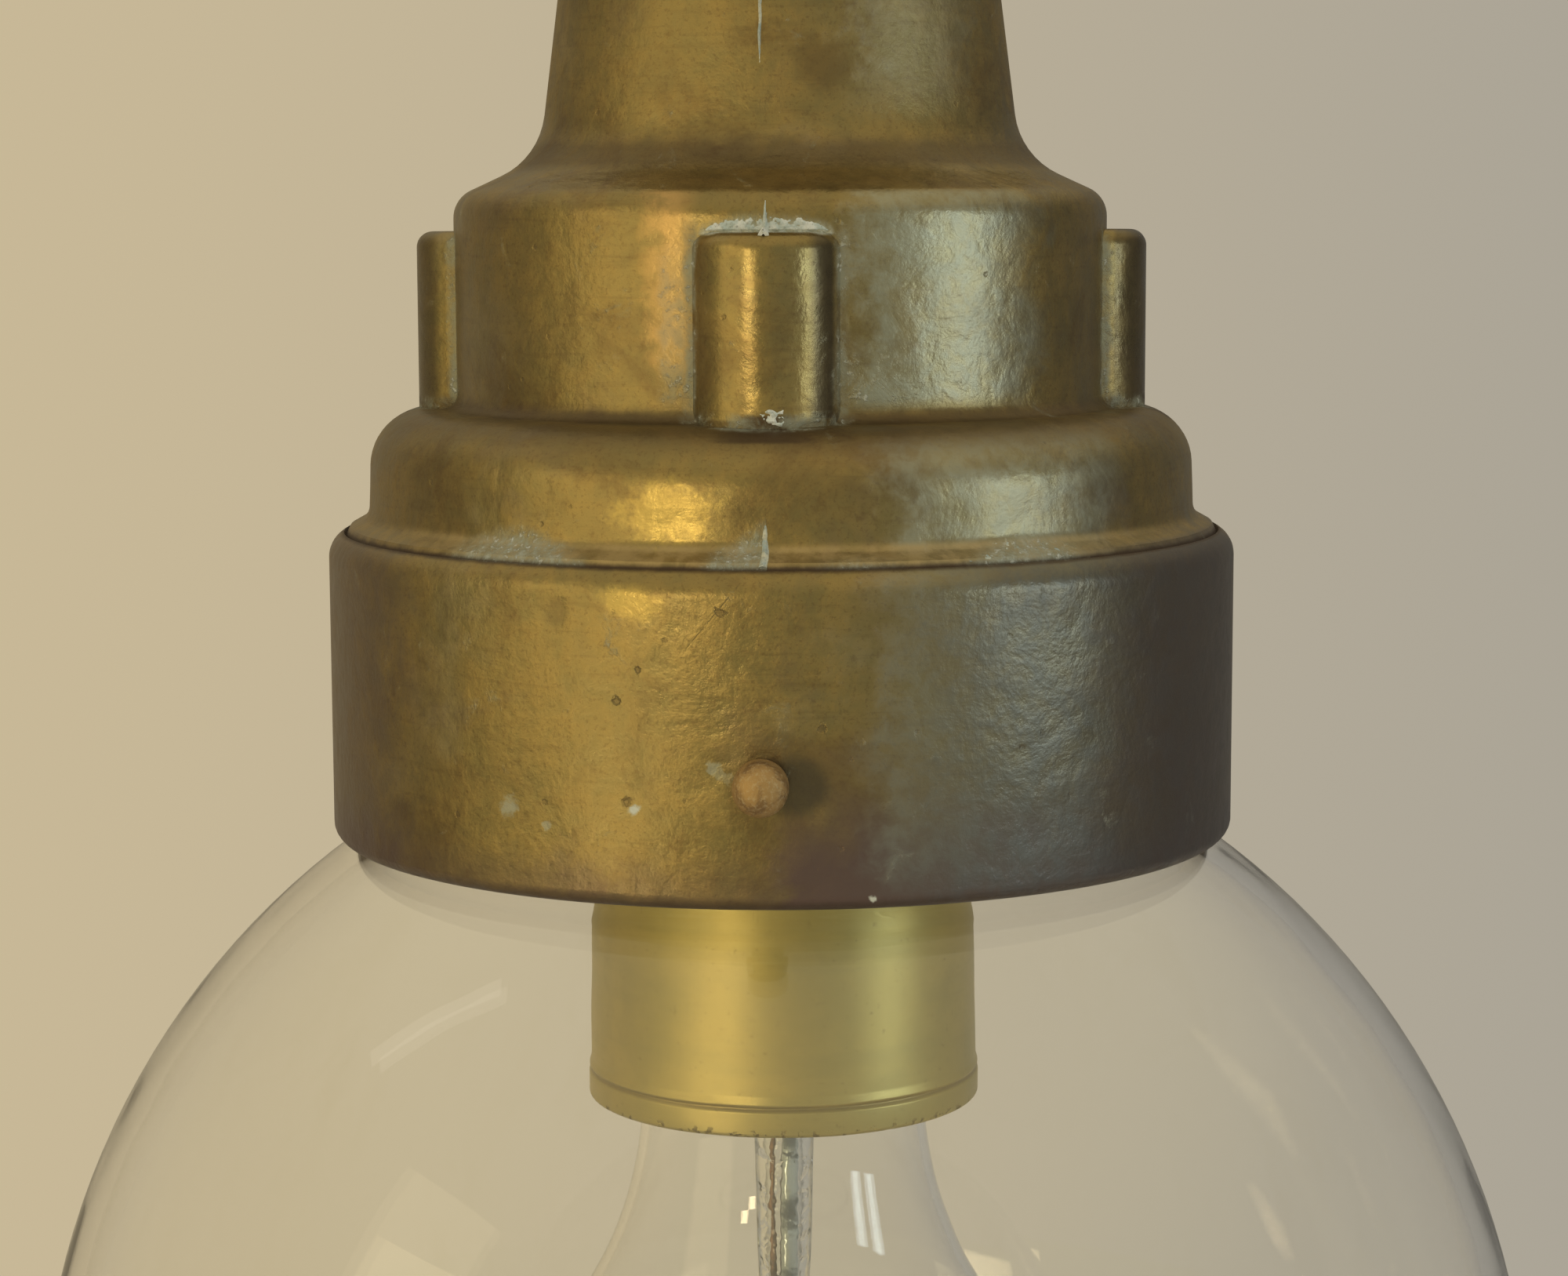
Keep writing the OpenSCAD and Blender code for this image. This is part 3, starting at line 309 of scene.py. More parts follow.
def slopeFilm(c):  # on the slope over the collar: its upper edge rises where it is thick
    markX = c.x + c.wander * 1.2
    top = markX.near(-24.0, 10.0) * 3.4 + markX.near(25.0, 9.0) * 2.6 + markX.near(9.0, 9.0) * 1.0
    top = top + (c.x + 6.8).most(0.0) * 0.62 * c.x.rise(0.6, 0.3)
    under = (c.height - 32.3 - top + c.wander * 0.5).rise(0.6, -1.8) * top.rise(0.2, 1.4)
    onSlope = c.front * c.radius.within(42.9, 46.3, 0.5) * c.height.rise(32.1, 32.6)
    return onSlope * under * (0.55 + c.flecks.rise(0.36, 0.62) * 0.45)


def bellBloom(c):  # pale films at the bosses and on the slope
    c.flecks = c.finish.noise(c.finish.place(c.origin, (1.0, 1.0, 0.45)), 0.8, 4.0, 0.7)
    onDrum, fromBoss, wander, patchy = c.front * c.drumFace, c.fromBoss, c.wander, c.patchy
    c.film = slopeFilm(c)
    c.bossSide = (apart(fromBoss - 7.7, c.radius - 34.6) + wander * 0.6).rise(0.95, 0.1)
    c.bossSide = c.bossSide * c.height.within(47.0, 63.0, 2.5)
    bossFoot = (apart(fromBoss - 7.9, c.height - 45.4) + wander * 0.6).rise(1.4, 0.2) * c.radius.rise(34.0, 35.5)
    leftOfBoss = onDrum * (c.x + wander * 0.8).within(-9.6, -8.2, 1.3) * c.z.within(48.0, 58.0, 6.0)
    rightOfBoss = onDrum * (c.x + wander * 1.5).within(8.0, 13.0, 3.0) * c.z.rise(54.0, 47.0)
    arch = (1.0 - (c.x / 6.7) ** 2.0).most(0.0) ** 0.5 * 2.0
    overBoss = (c.z - 63.4 - arch + wander * 0.6).rise(0.5, -1.4) * abs(c.x).rise(6.8, 6.2) * c.z.rise(63.2, 63.5)
    c.overBoss = onDrum * overBoss
    for film in (c.bossSide * (0.12 + patchy.rise(0.38, 0.6) * 0.6), bossFoot * patchy.rise(0.40, 0.62) * 0.75,
                 leftOfBoss * (0.08 + c.mottle.rise(0.38, 0.62) * 0.36), rightOfBoss * patchy.rise(0.38, 0.6) * 0.7,
                 c.film * (0.78 + patchy.rise(0.35, 0.6) * 0.22), c.overBoss * (0.5 + c.flecks.rise(0.36, 0.6) * 0.5)):
        c.bloom = c.bloom.most(film)


def bellShades(c):  # painted shade with dirt on the tier's top and the collar's right side, darker under the boss, painted shadow at the screw and painted shade on the bosses, dust, painted highlight spots
    # painted shade: the tier's top under the drum and the collar's right side laid darker; darker under the boss
    tierTopShade = c.radius.within(36.5, 43.4, 1.2) * (c.height + c.wander * 0.4).rise(41.8, 44.6)
    tierTopShade = tierTopShade * c.height.rise(46.0, 45.5)
    underBoss = c.radius.within(38.6, 41.2, 0.7) * c.height.within(44.0, 46.0, 0.6) * c.across.rise(9.0, 2.0)
    collarSideShade = c.front * c.collarFace * c.sideX.rise(27.0, 39.0)
    c.dirt = c.dirt.most(c.bossSide * 0.25).most(underBoss * 0.9).most(tierTopShade * 0.48).most(collarSideShade * 0.38)
    # painted shadow: darkened beside the front set screw, to its right
    screwShadow = (apart(c.x - 3.5, c.z - 12.1) + c.wander * 0.3).rise(3.7, 1.8) * c.front * c.collarFace
    # painted shade: the front boss darkened on its right side, and the side bosses darkened, the right one more
    bossRightShade = c.front * c.bosses * (c.x + c.wander * 0.3).rise(3.9, 5.2)
    sideBossShade = abs(c.x).rise(35.0, 36.5) * c.height.within(45.8, 64.2, 0.5)
    sideBossShade = sideBossShade * (c.x.rise(-1.0, 1.0) * 0.20 + 0.42)
    c.tint((screwShadow * 0.75).most(bossRightShade * 0.7).most(sideBossShade), "shadow")
    slope = c.radius.within(44.0, 45.75, 0.35) * c.height.within(32.4, 34.6, 0.5)
    c.slopeDust = slope * (0.30 + c.mottle.rise(0.36, 0.62) * 0.40) * (1.0 - abs(c.x).rise(25.0, 39.0) * 0.75)
    c.tint(c.slopeDust, "dust")
    spots = []
    for mark in rubbedSpots:
        away = apart((c.x - mark["x"]) / mark["wide"], (c.z - mark["z"]) / mark["high"])
        away = away + (c.mottle - 0.5) * mark["mottle"] + (c.grain - 0.5) * mark["grain"]
        spots.append(away.rise(1.15, mark["inner"]))
    # painted highlight: a bright gold laid on the tier and on the collar's upper edge
    c.rubbed = spots[0].most(spots[1]) * c.front
    c.tint(c.rubbed * 0.42, "rubbed")


def castPits(c):  # a sparse scatter, none of it filled
    scatter = (c.finish.cells(c.spot, 3.1) + (c.grain - 0.5) * 0.25).rise(0.12, 0.04)
    scatter = scatter * c.finish.noise(c.spot, 9.0, 2.0).rise(0.52, 0.62)
    c.pits, c.palePits, c.greenPits = scatter * 0.35, scatter * 0.0, scatter * 0.0


def collarMarks(c):  # the front's own pits, one dent and one scratch
    for mark in collarPits:
        away = apart(c.x - mark["x"], c.z - mark["z"]) + (c.grain + c.mottle - 1.0) * mark["ragged"] * 1.6
        hole = away.rise(mark["half"] * 1.15, mark["half"] * 0.35) * c.front
        pale = mark.get("pale", 0.0)
        if pale == 1.0:
            c.palePits = c.palePits.most(hole)
        elif pale:
            c.greenPits = c.greenPits.most(hole * pale)
        else:
            c.pits = c.pits.most(hole * 0.6)
    onCollar = c.front * c.collarFace
    dent = (apart((c.x + 19.6) / 1.2, (c.z - 28.0) / 1.7) + (c.mottle - 0.5) * 0.8).rise(1.2, 0.5) * onCollar
    c.pits = c.pits.most(dent * 0.40)
    c.scratch = (c.x * 1.2 - c.z + 33.4).near(0.0, 0.20) * c.x.within(-6.4, -2.2, 1.0) * onCollar
    c.scratch = c.scratch * c.grain.rise(0.38, 0.55)


def castingFinish(name, origin, creases, bell):
    c = Casting(name, origin, not bell)
    mottle, grain, look = c.mottle, c.grain, castBrass
    castGround(c)
    creaseDirtAndShade(c, creases)
    castPits(c)
    if bell:
        bellParts(c)
        frontStainsAndLight(c)
    c.tint(c.purple.least(1.0), "plum")
    c.tint((c.greyed * (0.45 + mottle.rise(0.35, 0.65) * 0.55)).least(1.0), "greyGreen")
    if bell:
        c.tint(c.blued * (0.75 + mottle.rise(0.35, 0.65) * 0.25), "blueGrey")
        bellBloom(c)
        bellShades(c)
        collarMarks(c)
    # painted shade with dirt: the creases, the tier's top, under the boss and the collar's right side laid darker
    c.tint(c.dirt.least(1.0), "crease")
    c.tint(c.bloom.least(1.0) * 0.85, "verdigris")
    specks = c.bloom * grain.rise(0.56, 0.66)
    if bell:
        specks = specks.most(c.overBoss * (0.35 + grain.rise(0.4, 0.6) * 0.55) * c.z.rise(65.8, 63.6))
        specks = specks.most(c.film * c.flecks.rise(0.50, 0.70) * 0.25)
    c.tint(specks.least(1.0) * 0.8, "crust")
    c.tint(c.pits * 0.6, "crease")
    c.tint(c.greenPits, "paleGreen")
    c.tint(c.palePits, "crust")
    filled = c.palePits.most(c.greenPits)

    dulled = c.bloom * 0.55 + c.pits * 0.2 + filled * 0.6 + specks * 0.4 + c.purple * 0.12 + c.dirt * 0.3
    metallic = look["metallic"] - dulled
    roughness = look["roughness"] + (mottle - 0.5) * 0.26 + (c.cloud - 0.5) * 0.14
    roughness = roughness + c.bloom * 0.22 + filled * 0.3 + c.dirt * 0.2
    relief = c.wide * 0.45 + c.cloud * 0.20 + mottle * 0.078 + grain * 0.034 + c.streak * 0.012
    relief = relief - c.pits * 0.14 + c.bloom * c.patchy * 0.12 + specks * 0.08
    if bell:  # smoother on the bosses, rougher on the neck and where dust lies
        metallic = metallic - c.slopeDust * 0.45
        roughness = roughness + c.z.rise(72.0, 78.0) * 0.14 + c.tierFace * 0.02 - c.bosses * 0.045
        roughness = roughness + c.slopeDust * 0.15 - c.rubbed * 0.02
        relief = relief - c.bosses * (mottle * 0.040 + grain * 0.018)
        relief = relief - c.tierFace * (mottle * 0.035 + grain * 0.016) - c.scratch * 0.03
    return c.finish.surface(Base_Color=c.colour, Metallic=metallic.most(0.0), Roughness=roughness.most(0.2).least(0.95),
                            Normal=c.finish.bump(relief))


dress(castingFinish("agedBellCasting", lampOrigin, bellCreases, True), "bell_casting")
dress(castingFinish("agedArmCasting", (0.0, 0.0, 0.0), armCreases, False), "arm_casting", "wall_flange")
print("castings dressed")

# Turned, drawn and plated metals


def drawnMetal(name, base, dark, roughness, size, stretch=(1, 1, 1), metallic=1.0, scratch=0.01, stain=0.5):
    f = Finish(name)
    spot = f.place(lampOrigin)
    streaks = f.noise(f.place(lampOrigin, stretch), size, 3.0, 0.6)
    cloud = f.noise(spot, 6.0, 4.0, 0.6, 0.3)
    fine = f.noise(spot, 0.5, 3.0, 0.6)
    colour = f.mix(cloud.rise(0.42, 0.68) * stain + fine.rise(0.58, 0.75) * 0.25, base, dark)
    rough = roughness + cloud * 0.12 + streaks * 0.08
    return f.surface(Base_Color=colour, Metallic=metallic, Roughness=rough, Normal=f.bump(streaks * scratch + fine * 0.006))


satinCup = {"body": rgb(0.460, 0.370, 0.140), "shade": rgb(0.370, 0.315, 0.130), "edge": rgb(0.200, 0.150, 0.070),
            "grooveHeight": -26.45, "rimHeight": -28.9, "roughness": 0.34}


def cupFinish():
    f = Finish("satinCupBrass")
    spot = f.place(lampOrigin)
    z = f.parts(spot)[2]
    lines = f.noise(f.place(lampOrigin, (0.05, 0.05, 5.0)), 1.0, 4.0, 0.65)
    wide = f.noise(f.place(lampOrigin, (0.1, 0.1, 0.6)), 3.0, 3.0, 0.6)
    cloud = f.noise(spot, 9.0, 4.0, 0.6, 0.4)
    dust = f.noise(spot, 0.6, 4.0, 0.65)
    onRim = z.rise(satinCup["rimHeight"] + 0.5, satinCup["rimHeight"] - 0.3)
    chips = onRim * f.noise(spot, 0.9, 3.0, 0.6).rise(0.55, 0.62)
    base = f.mix(wide.rise(0.4, 0.65) * 0.4 + cloud.rise(0.4, 0.65) * 0.4, satinCup["body"], satinCup["shade"])
    specks = f.mix(dust.rise(0.60, 0.74) * 0.4, base, satinCup["edge"])
    worn = f.mix(chips * 0.8, specks, satinCup["edge"])
    # painted shade: darker along the groove
    groove = f.mix(z.near(satinCup["grooveHeight"], 0.35) * 0.6, worn, satinCup["edge"])
    roughness = satinCup["roughness"] + lines * 0.12 + dust * 0.05 + chips * 0.3
    relief = lines * 0.006 + wide * 0.012 + dust * 0.004 - chips * 0.12
    return f.surface(Base_Color=groove, Metallic=1.0, Roughness=roughness, Normal=f.bump(relief))


screwLook = {"brass": rgb(0.400, 0.255, 0.100), "brown": rgb(0.210, 0.125, 0.055), "pale": rgb(0.540, 0.430, 0.240),
             "roughness": 0.44}


def screwFinish():
    f = Finish("copperySetScrew")
    spot = f.place(lampOrigin)
    cloud = f.noise(spot, 2.4, 4.0, 0.65, 0.5)
    fine = f.noise(spot, 0.35, 4.0, 0.7)
    colour = f.mix(cloud.rise(0.46, 0.62) * 0.8, screwLook["brass"], screwLook["brown"])
    dusty = f.mix(fine.rise(0.48, 0.66) * 0.50, colour, screwLook["pale"])
    return f.surface(Base_Color=dusty, Metallic=0.75, Roughness=screwLook["roughness"] + fine * 0.25,
                     Normal=f.bump(cloud * 0.08 + fine * 0.05))


cupMetal = cupFinish()
screwMetal = screwFinish()
tarnished = drawnMetal("tarnishedBrass", rgb(0.50, 0.35, 0.13), rgb(0.24, 0.16, 0.07), 0.30, 1.0, (0.3, 0.3, 3.0))
zinc = drawnMetal("zincSteel", rgb(0.52, 0.53, 0.54), rgb(0.36, 0.36, 0.35), 0.28, 1.2, (0.4, 0.4, 2.0), stain=0.4)
capMetal = drawnMetal("capAluminium", rgb(0.74, 0.75, 0.76), rgb(0.55, 0.55, 0.54), 0.22, 1.0, (0.1, 0.1, 3.0), stain=0.3)
leadMetal = drawnMetal("leadWire", rgb(0.46, 0.44, 0.42), rgb(0.25, 0.24, 0.23), 0.30, 0.5, stain=0.4)
sheathedWire = drawnMetal("sheathedWire", rgb(0.30, 0.16, 0.10), rgb(0.10, 0.06, 0.045), 0.36, 0.5, stain=0.6)
filamentMetal = drawnMetal("filamentWire", rgb(0.22, 0.22, 0.23), rgb(0.10, 0.10, 0.11), 0.42, 0.3, stain=0.4)
dress(cupMetal, "socket_cup")
dress(screwMetal, "set_screw_front", "set_screw_left", "set_screw_right")
dress(tarnished, "plate_screws", "nipple", "plate_nuts", "cup_nut", "holder_bridge", "screw_shell", "centre_contact",
      "holder_terminals", "terminal_inserts", "earth_screw", "earth_washer")
dress(zinc, "neck_grub_screw", "terminal_screws", "terminal_block_screw", "holder_plate", "bridge_screws",
      "holder_terminal_screws")
dress(capMetal, "bulb_cap", "bulb_contact")
dress(leadMetal, "bulb_leads")
dress(filamentMetal, "bulb_supports", "bulb_filament")
print("metals dressed")

# Porcelain, plastics and rubber


def mouldedFinish(name, base, dark, roughness, size, relief, coat=0.0):
    f = Finish(name)
    spot = f.place(lampOrigin)
    cloud = f.noise(spot, size * 6.0, 4.0, 0.6, 0.3)
    fine = f.noise(spot, size, 4.0, 0.65)
    colour = f.mix(cloud.rise(0.4, 0.7) * 0.6 + fine.rise(0.6, 0.75) * 0.3, base, dark)
    return f.surface(Base_Color=colour, Metallic=0.0, Roughness=roughness + fine * 0.10 + cloud * 0.05,
                     Coat_Weight=coat, Coat_Roughness=0.05, Normal=f.bump(fine * relief + cloud * relief))


dress(mouldedFinish("glazedPorcelain", rgb(0.80, 0.78, 0.70), rgb(0.66, 0.62, 0.52), 0.16, 1.4, 0.02, coat=0.6),
      "porcelain_holder")
dress(mouldedFinish("creamMoulding", rgb(0.74, 0.70, 0.58), rgb(0.60, 0.55, 0.42), 0.42, 0.8, 0.02), "terminal_block")
dress(mouldedFinish("gasketRubber", rgb(0.030, 0.030, 0.030), rgb(0.055, 0.054, 0.050), 0.66, 0.7, 0.05), "wall_gasket")
dress(mouldedFinish("brownSleeve", rgb(0.130, 0.050, 0.020), rgb(0.090, 0.036, 0.018), 0.34, 0.9, 0.01), "live_wire")
dress(mouldedFinish("blueSleeve", rgb(0.020, 0.070, 0.260), rgb(0.018, 0.050, 0.180), 0.34, 0.9, 0.01), "neutral_wire")
dress(mouldedFinish("blackGlass", rgb(0.012, 0.012, 0.014), rgb(0.030, 0.028, 0.028), 0.12, 1.0, 0.01), "bulb_insulator")

# Glass


def blownGlass(name, tint, size, relief, dust, rim=0.0):
    f = Finish(name)
    spot = f.place(lampOrigin)
    wave = f.noise(spot, size, 2.0, 0.5, 0.4)
    smear = f.noise(f.place(lampOrigin, (0.6, 0.6, 0.2)), 9.0, 5.0, 0.7, 0.6).rise(0.52, 0.75)
    colour = f.mix(smear * dust, rgb(*tint), rgb(tint[0] * 0.95, tint[1] * 0.94, tint[2] * 0.90))
    if rim:  # painted shade: thick glass is drawn darker where it is seen along the wall
        facing = f.add("ShaderNodeLayerWeight", {}, {"Blend": 0.5}, output=1)
        colour = f.mix(facing.rise(0.38, 0.80) * rim, colour, rgb(0.12, 0.13, 0.14))
    return f.glass(Base_Color=colour, Metallic=0.0, Roughness=smear * dust * 0.06, IOR=1.47,
                   Transmission_Weight=1.0, Normal=f.bump(wave * relief))


globeGlass = blownGlass("globeGlass", (0.985, 0.982, 0.960), 30.0, 0.10, 0.5)
bulbGlass = blownGlass("bulbGlass", (0.99, 0.99, 0.985), 20.0, 0.004, 0.2, 0.10)
stemGlass = blownGlass("stemGlass", (0.97, 0.98, 0.98), 2.4, 0.28, 0.3, 0.9)
dress(globeGlass, "glass_globe")
dress(bulbGlass, "bulb_glass")
dress(stemGlass, "bulb_stem")
silveryGlass = drawnMetal("silveryGlass", rgb(0.60, 0.64, 0.66), rgb(0.26, 0.27, 0.29), 0.03, 1.0, (0.4, 0.4, 0.2),
                          metallic=0.8, scratch=0.03)
print("glass dressed")


# New pieces: a grid is laid out by a rule, closed and finished


def around(radius, turn, height):
    return Vector((radius * math.cos(turn), radius * math.sin(turn), height))


def layGrid(name, columns, rows, rule):  # rule(u, v) gives a point in mm from the lamp's origin; u across, v up
    bpy.ops.mesh.primitive_grid_add(x_subdivisions=columns, y_subdivisions=rows, size=1.0, location=(0, 0, 0))
    piece = bpy.context.object
    piece.name = piece.data.name = name
    for vertex in piece.data.vertices:
        vertex.co = (Vector(rule(vertex.co.x + 0.5, vertex.co.y + 0.5)) + Vector(lampOrigin)) / 1000.0
    return piece


def mergeDoubles(distance=0.000002):  # m
    bpy.ops.object.mode_set(mode="EDIT")
    bpy.ops.mesh.select_all(action="SELECT")
    bpy.ops.mesh.remove_doubles(threshold=distance)
    bpy.ops.object.mode_set(mode="OBJECT")


def closeShell(piece, wall):  # a wall is given inwards, in mm, and the border is closed
    mergeDoubles()
    shell = piece.modifiers.new("wall", "SOLIDIFY")
    shell.thickness, shell.offset, shell.use_even_offset = wall / 1000.0, -1.0, False
    bpy.ops.object.modifier_apply(modifier=shell.name)


def finishPiece(piece, material, body, slot, angle, replaced=()):  # edges sharper than angle stay hard
    piece.data.materials.append(material)
    bpy.ops.object.mode_set(mode="EDIT")
    bpy.ops.mesh.select_all(action="SELECT")
    bpy.ops.mesh.normals_make_consistent(inside=False)
    bpy.ops.object.mode_set(mode="OBJECT")
    bpy.ops.object.shade_smooth_by_angle(angle=math.radians(angle))
    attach(piece, body)
    if replaced:
        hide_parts(*replaced)
    piece.select_set(False)


# The castings, the stem and the holder: smooth copies, since a node's own faces are loose triangles

record = frame["record"]
slotOf = {part["node"]: part["material_slot"] for part in record["subparts"]}
bodyOf = {node: body for body, held in record["behaviour"]["bodies"].items() for node in held}
smoothCopies = {"castBell": "bell_casting", "castArm": "arm_casting", "castFlange": "wall_flange",
                "pressedStem": "bulb_stem", "glazedHolder": "porcelain_holder"}
smoothAngle = 32.0


def copySmooth(name, node):
    piece = bpy.data.objects.new(name, nodes[node].data.copy())
    piece.data.name = name
    bpy.context.scene.collection.objects.link(piece)
    bpy.ops.object.select_all(action="DESELECT")
    piece.select_set(True)
    bpy.context.view_layer.objects.active = piece
    if piece.data.has_custom_normals:
        bpy.ops.mesh.customdata_custom_splitnormals_clear()
    mergeDoubles(0.000004)
    bpy.ops.object.shade_smooth_by_angle(angle=math.radians(smoothAngle))
    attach(piece, bodyOf[node])
    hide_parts(node)
    piece.select_set(False)


for name, node in smoothCopies.items():
    copySmooth(name, node)
print("smooth copies made of", len(smoothCopies), "nodes")

# Blown glass: the globe and the bulb, turned from their outlines


def corner(before, at, after, radius, share=0.49, step=6.0):  # the points of a rounding between two straight lines
    before, at, after = Vector(before), Vector(at), Vector(after)
    back, on = (before - at).normalized(), (after - at).normalized()
    half = math.acos(back.dot(on)) / 2.0
    fit = min(radius, share * min((before - at).length, (after - at).length) * math.tan(half))
    centre = at + (back + on).normalized() * fit / math.sin(half)
    first, last = at + back * fit / math.tan(half) - centre, at + on * fit / math.tan(half) - centre
    start = math.atan2(first.y, first.x)
    sweep = (math.atan2(last.y, last.x) - start + math.pi) % (2.0 * math.pi) - math.pi
    count = max(1, math.ceil(math.degrees(abs(sweep)) / step))
    return [(centre.x + fit * math.cos(start + sweep * i / count), centre.y + fit * math.sin(start + sweep * i / count))
            for i in range(count + 1)]


def arc(radius, centre, first, last, step=2.0):  # centre is [distance from the axis, height]; angles in degrees
    count = math.ceil(abs(last - first) / step)
    turns = [math.radians(first + (last - first) * i / count) for i in range(count + 1)]
    return [(centre[0] + radius * math.cos(turn), centre[1] + radius * math.sin(turn)) for turn in turns]


globeShape = {"radius": 80.5, "wall": 2.6, "height": -67.148, "neck": 43.3, "neckInside": 40.7, "lip": 44.8,
              "lipFoot": 14.6, "lipTop": 18.6}
bulbShape = {"radius": 30.0, "height": -73.0, "wall": 0.9, "neck": 15.2, "waist": -28.0, "waistArc": 45.812,
             "waistTurn": 36.411, "mouth": 12.65, "capFoot": -24.0}


def globeOutline():
    g = globeShape
    inside = g["radius"] - g["wall"]
    outTurn = math.degrees(math.acos((g["neck"] + 1.8) / g["radius"]))
    inTurn = math.degrees(math.acos((g["neckInside"] + 1.2) / inside))
    outer, inner = arc(g["radius"], (0, g["height"]), -90.0, outTurn), arc(inside, (0, g["height"]), inTurn, -90.0)
    neckFoot, lipFoot, lipEdge = (g["neck"], 1.2), (g["neck"], g["lipFoot"]), (g["lip"], g["lipFoot"])
    lipTop, mouth = (g["lip"], g["lipTop"]), (g["neckInside"], g["lipTop"])
    outside = corner(outer[-1], neckFoot, lipFoot, 2.0) + corner(neckFoot, lipFoot, lipEdge, 0.4)
    lip = corner(lipFoot, lipEdge, lipTop, 1.0) + corner(lipEdge, lipTop, mouth, 1.2) + [mouth]
    return outer + outside + lip + corner(mouth, (g["neckInside"], 0.4), inner[0], 2.0) + inner


def bulbSkin(inset):
    b = bulbShape
    neck, mouth = b["neck"] - inset, b["mouth"] - inset
    waist = arc(b["waistArc"] + inset, (b["neck"] + b["waistArc"], b["waist"]), 180.0 + b["waistTurn"], 180.0)
    knee, foot, top = (neck, b["waist"] + 2.4), (mouth, b["capFoot"] - 0.6), (mouth, b["capFoot"] + 3.0)
    return (arc(b["radius"] - inset, (0, b["height"]), -90.0, b["waistTurn"], 2.5) + waist[1:]
            + corner((neck, b["waist"]), knee, foot, 1.6) + corner(knee, foot, top, 0.4) + [top])


def turnPiece(name, outline, columns, material, node, angle=35.0, lay=around):  # lay puts a turned point in place
    def rule(u, v):
        radius, along = outline[round(v * (len(outline) - 1))]
        return lay(max(radius, 0.0), 2.0 * math.pi * u, along)

    piece = layGrid(name, columns, len(outline) - 1, rule)
    mergeDoubles()
    finishPiece(piece, material, bodyOf[node], slotOf[node], angle, [node])


def roundedLoop(points):  # a closed outline from corners (distance from the axis, height, rounding)
    loop = []
    for i, (radius, height, rounding) in enumerate(points):
        before, after = points[i - 1], points[(i + 1) % len(points)]
        loop += corner(before[:2], (radius, height), after[:2], rounding, 0.45, 12.0) if rounding else [(radius, height)]
    return loop + loop[:1]


turnPiece("blownGlobe", globeOutline(), 192, globeGlass, "glass_globe")
turnPiece("blownBulb", bulbSkin(0.0) + bulbSkin(bulbShape["wall"])[::-1], 128, bulbGlass, "bulb_glass")
print("globe and bulb blown")

# The cup's rim has a soft rolled groove and a nicked edge

cupShape = [(5.1, 22.8, 0), (19.9, 22.8, 3.0), (20.88, -25.2, 1.2), (21.12, -26.0, 0.25), (20.86, -26.35, 0.2),
            (21.14, -26.8, 0.3), (21.12, -29.4, 0.5), (20.1, -29.4, 0.3), (20.1, -25.7, 0.6), (19.1, 22.0, 2.2), (5.1, 22.0, 0)]
cupNicks = {"height": -28.5, "depth": 0.35, "size": 0.55}


def layCup(radius, turn, along):
    place = around(radius, turn, along)
    if along < cupNicks["height"]:
        nick = noise.noise(Vector((place.x, place.y, 0.0)) / cupNicks["size"]) * noise.noise(place / 4.0)
        place.z += min(1.0, max(0.0, nick - 0.10) * 4.0) * cupNicks["depth"]
    return place


turnPiece("spunCup", roundedLoop(cupShape), 256, cupMetal, "socket_cup", 32.0, layCup)

# Set screws: a shank with a domed head, turned about a line square to the collar

screwShape = {"shank": 2.0, "tip": 43.6, "chamfer": 0.6, "head": 2.65, "headFrom": 49.2, "domeFrom": 50.9,
              "domeTo": 53.0, "domeSteps": 12, "domeFullness": 0.8, "height": 12.3}


def makeSetScrew(name, node):
    shape = screwShape
    low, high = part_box(node)
    middle = [(low[i] + high[i]) * 500.0 - lampOrigin[i] for i in range(2)]
    turnOut = math.atan2(middle[1], middle[0])
    outward = around(1.0, turnOut, 0.0)
    across = Vector((-math.sin(turnOut), math.cos(turnOut), 0.0))
    shank, head, chamfer = shape["shank"], shape["head"], shape["chamfer"]
    outline = [(0.0, shape["tip"]), (shank - chamfer, shape["tip"]), (shank, shape["tip"] + chamfer)]
    outline.append((shank, shape["headFrom"]))
    outline += corner(outline[-1], (head, shape["headFrom"]), (head, shape["domeFrom"]), 0.3)
    rise = shape["domeTo"] - shape["domeFrom"]
    for i in range(1, shape["domeSteps"]):
        up = math.radians(i * 90.0 / shape["domeSteps"])
        outline.append((head * math.cos(up) ** shape["domeFullness"], shape["domeFrom"] + rise * math.sin(up)))
    outline.append((0.0, shape["domeTo"]))

    def laySquare(radius, turn, along):
        aside = across * math.cos(turn) + Vector((0, 0, math.sin(turn)))
        return outward * along + aside * radius + Vector((0, 0, shape["height"]))

    turnPiece(name, outline, 64, screwMetal, node, 35.0, laySquare)


for side in ("front", "left", "right"):
    makeSetScrew(side + "ScrewTurned", "set_screw_" + side)
print("cup and set screws turned")

# Inside the bulb's stem: the pumping tube and two copper-sheathed wires

stemInside = {"top": -24.6, "bottom": -50.9, "spreadFrom": -31.0, "rows": 60}
stemRods = [  # above, below: across and back from the axis at the stem's top and foot; the wires spread near the top
    {"name": "pumpingTube", "radius": 0.95, "above": (0.80, -0.30), "below": (0.45, 0.0), "spread": 0.0, "columns": 32},
    {"name": "stemWireLeft", "radius": 0.34, "above": (-1.45, 0.30), "below": (-1.15, 0.1), "spread": -6.0, "columns": 14},
    {"name": "stemWireRight", "radius": 0.34, "above": (1.55, 1.20), "below": (0.95, 1.0), "spread": 6.0, "columns": 14},
]


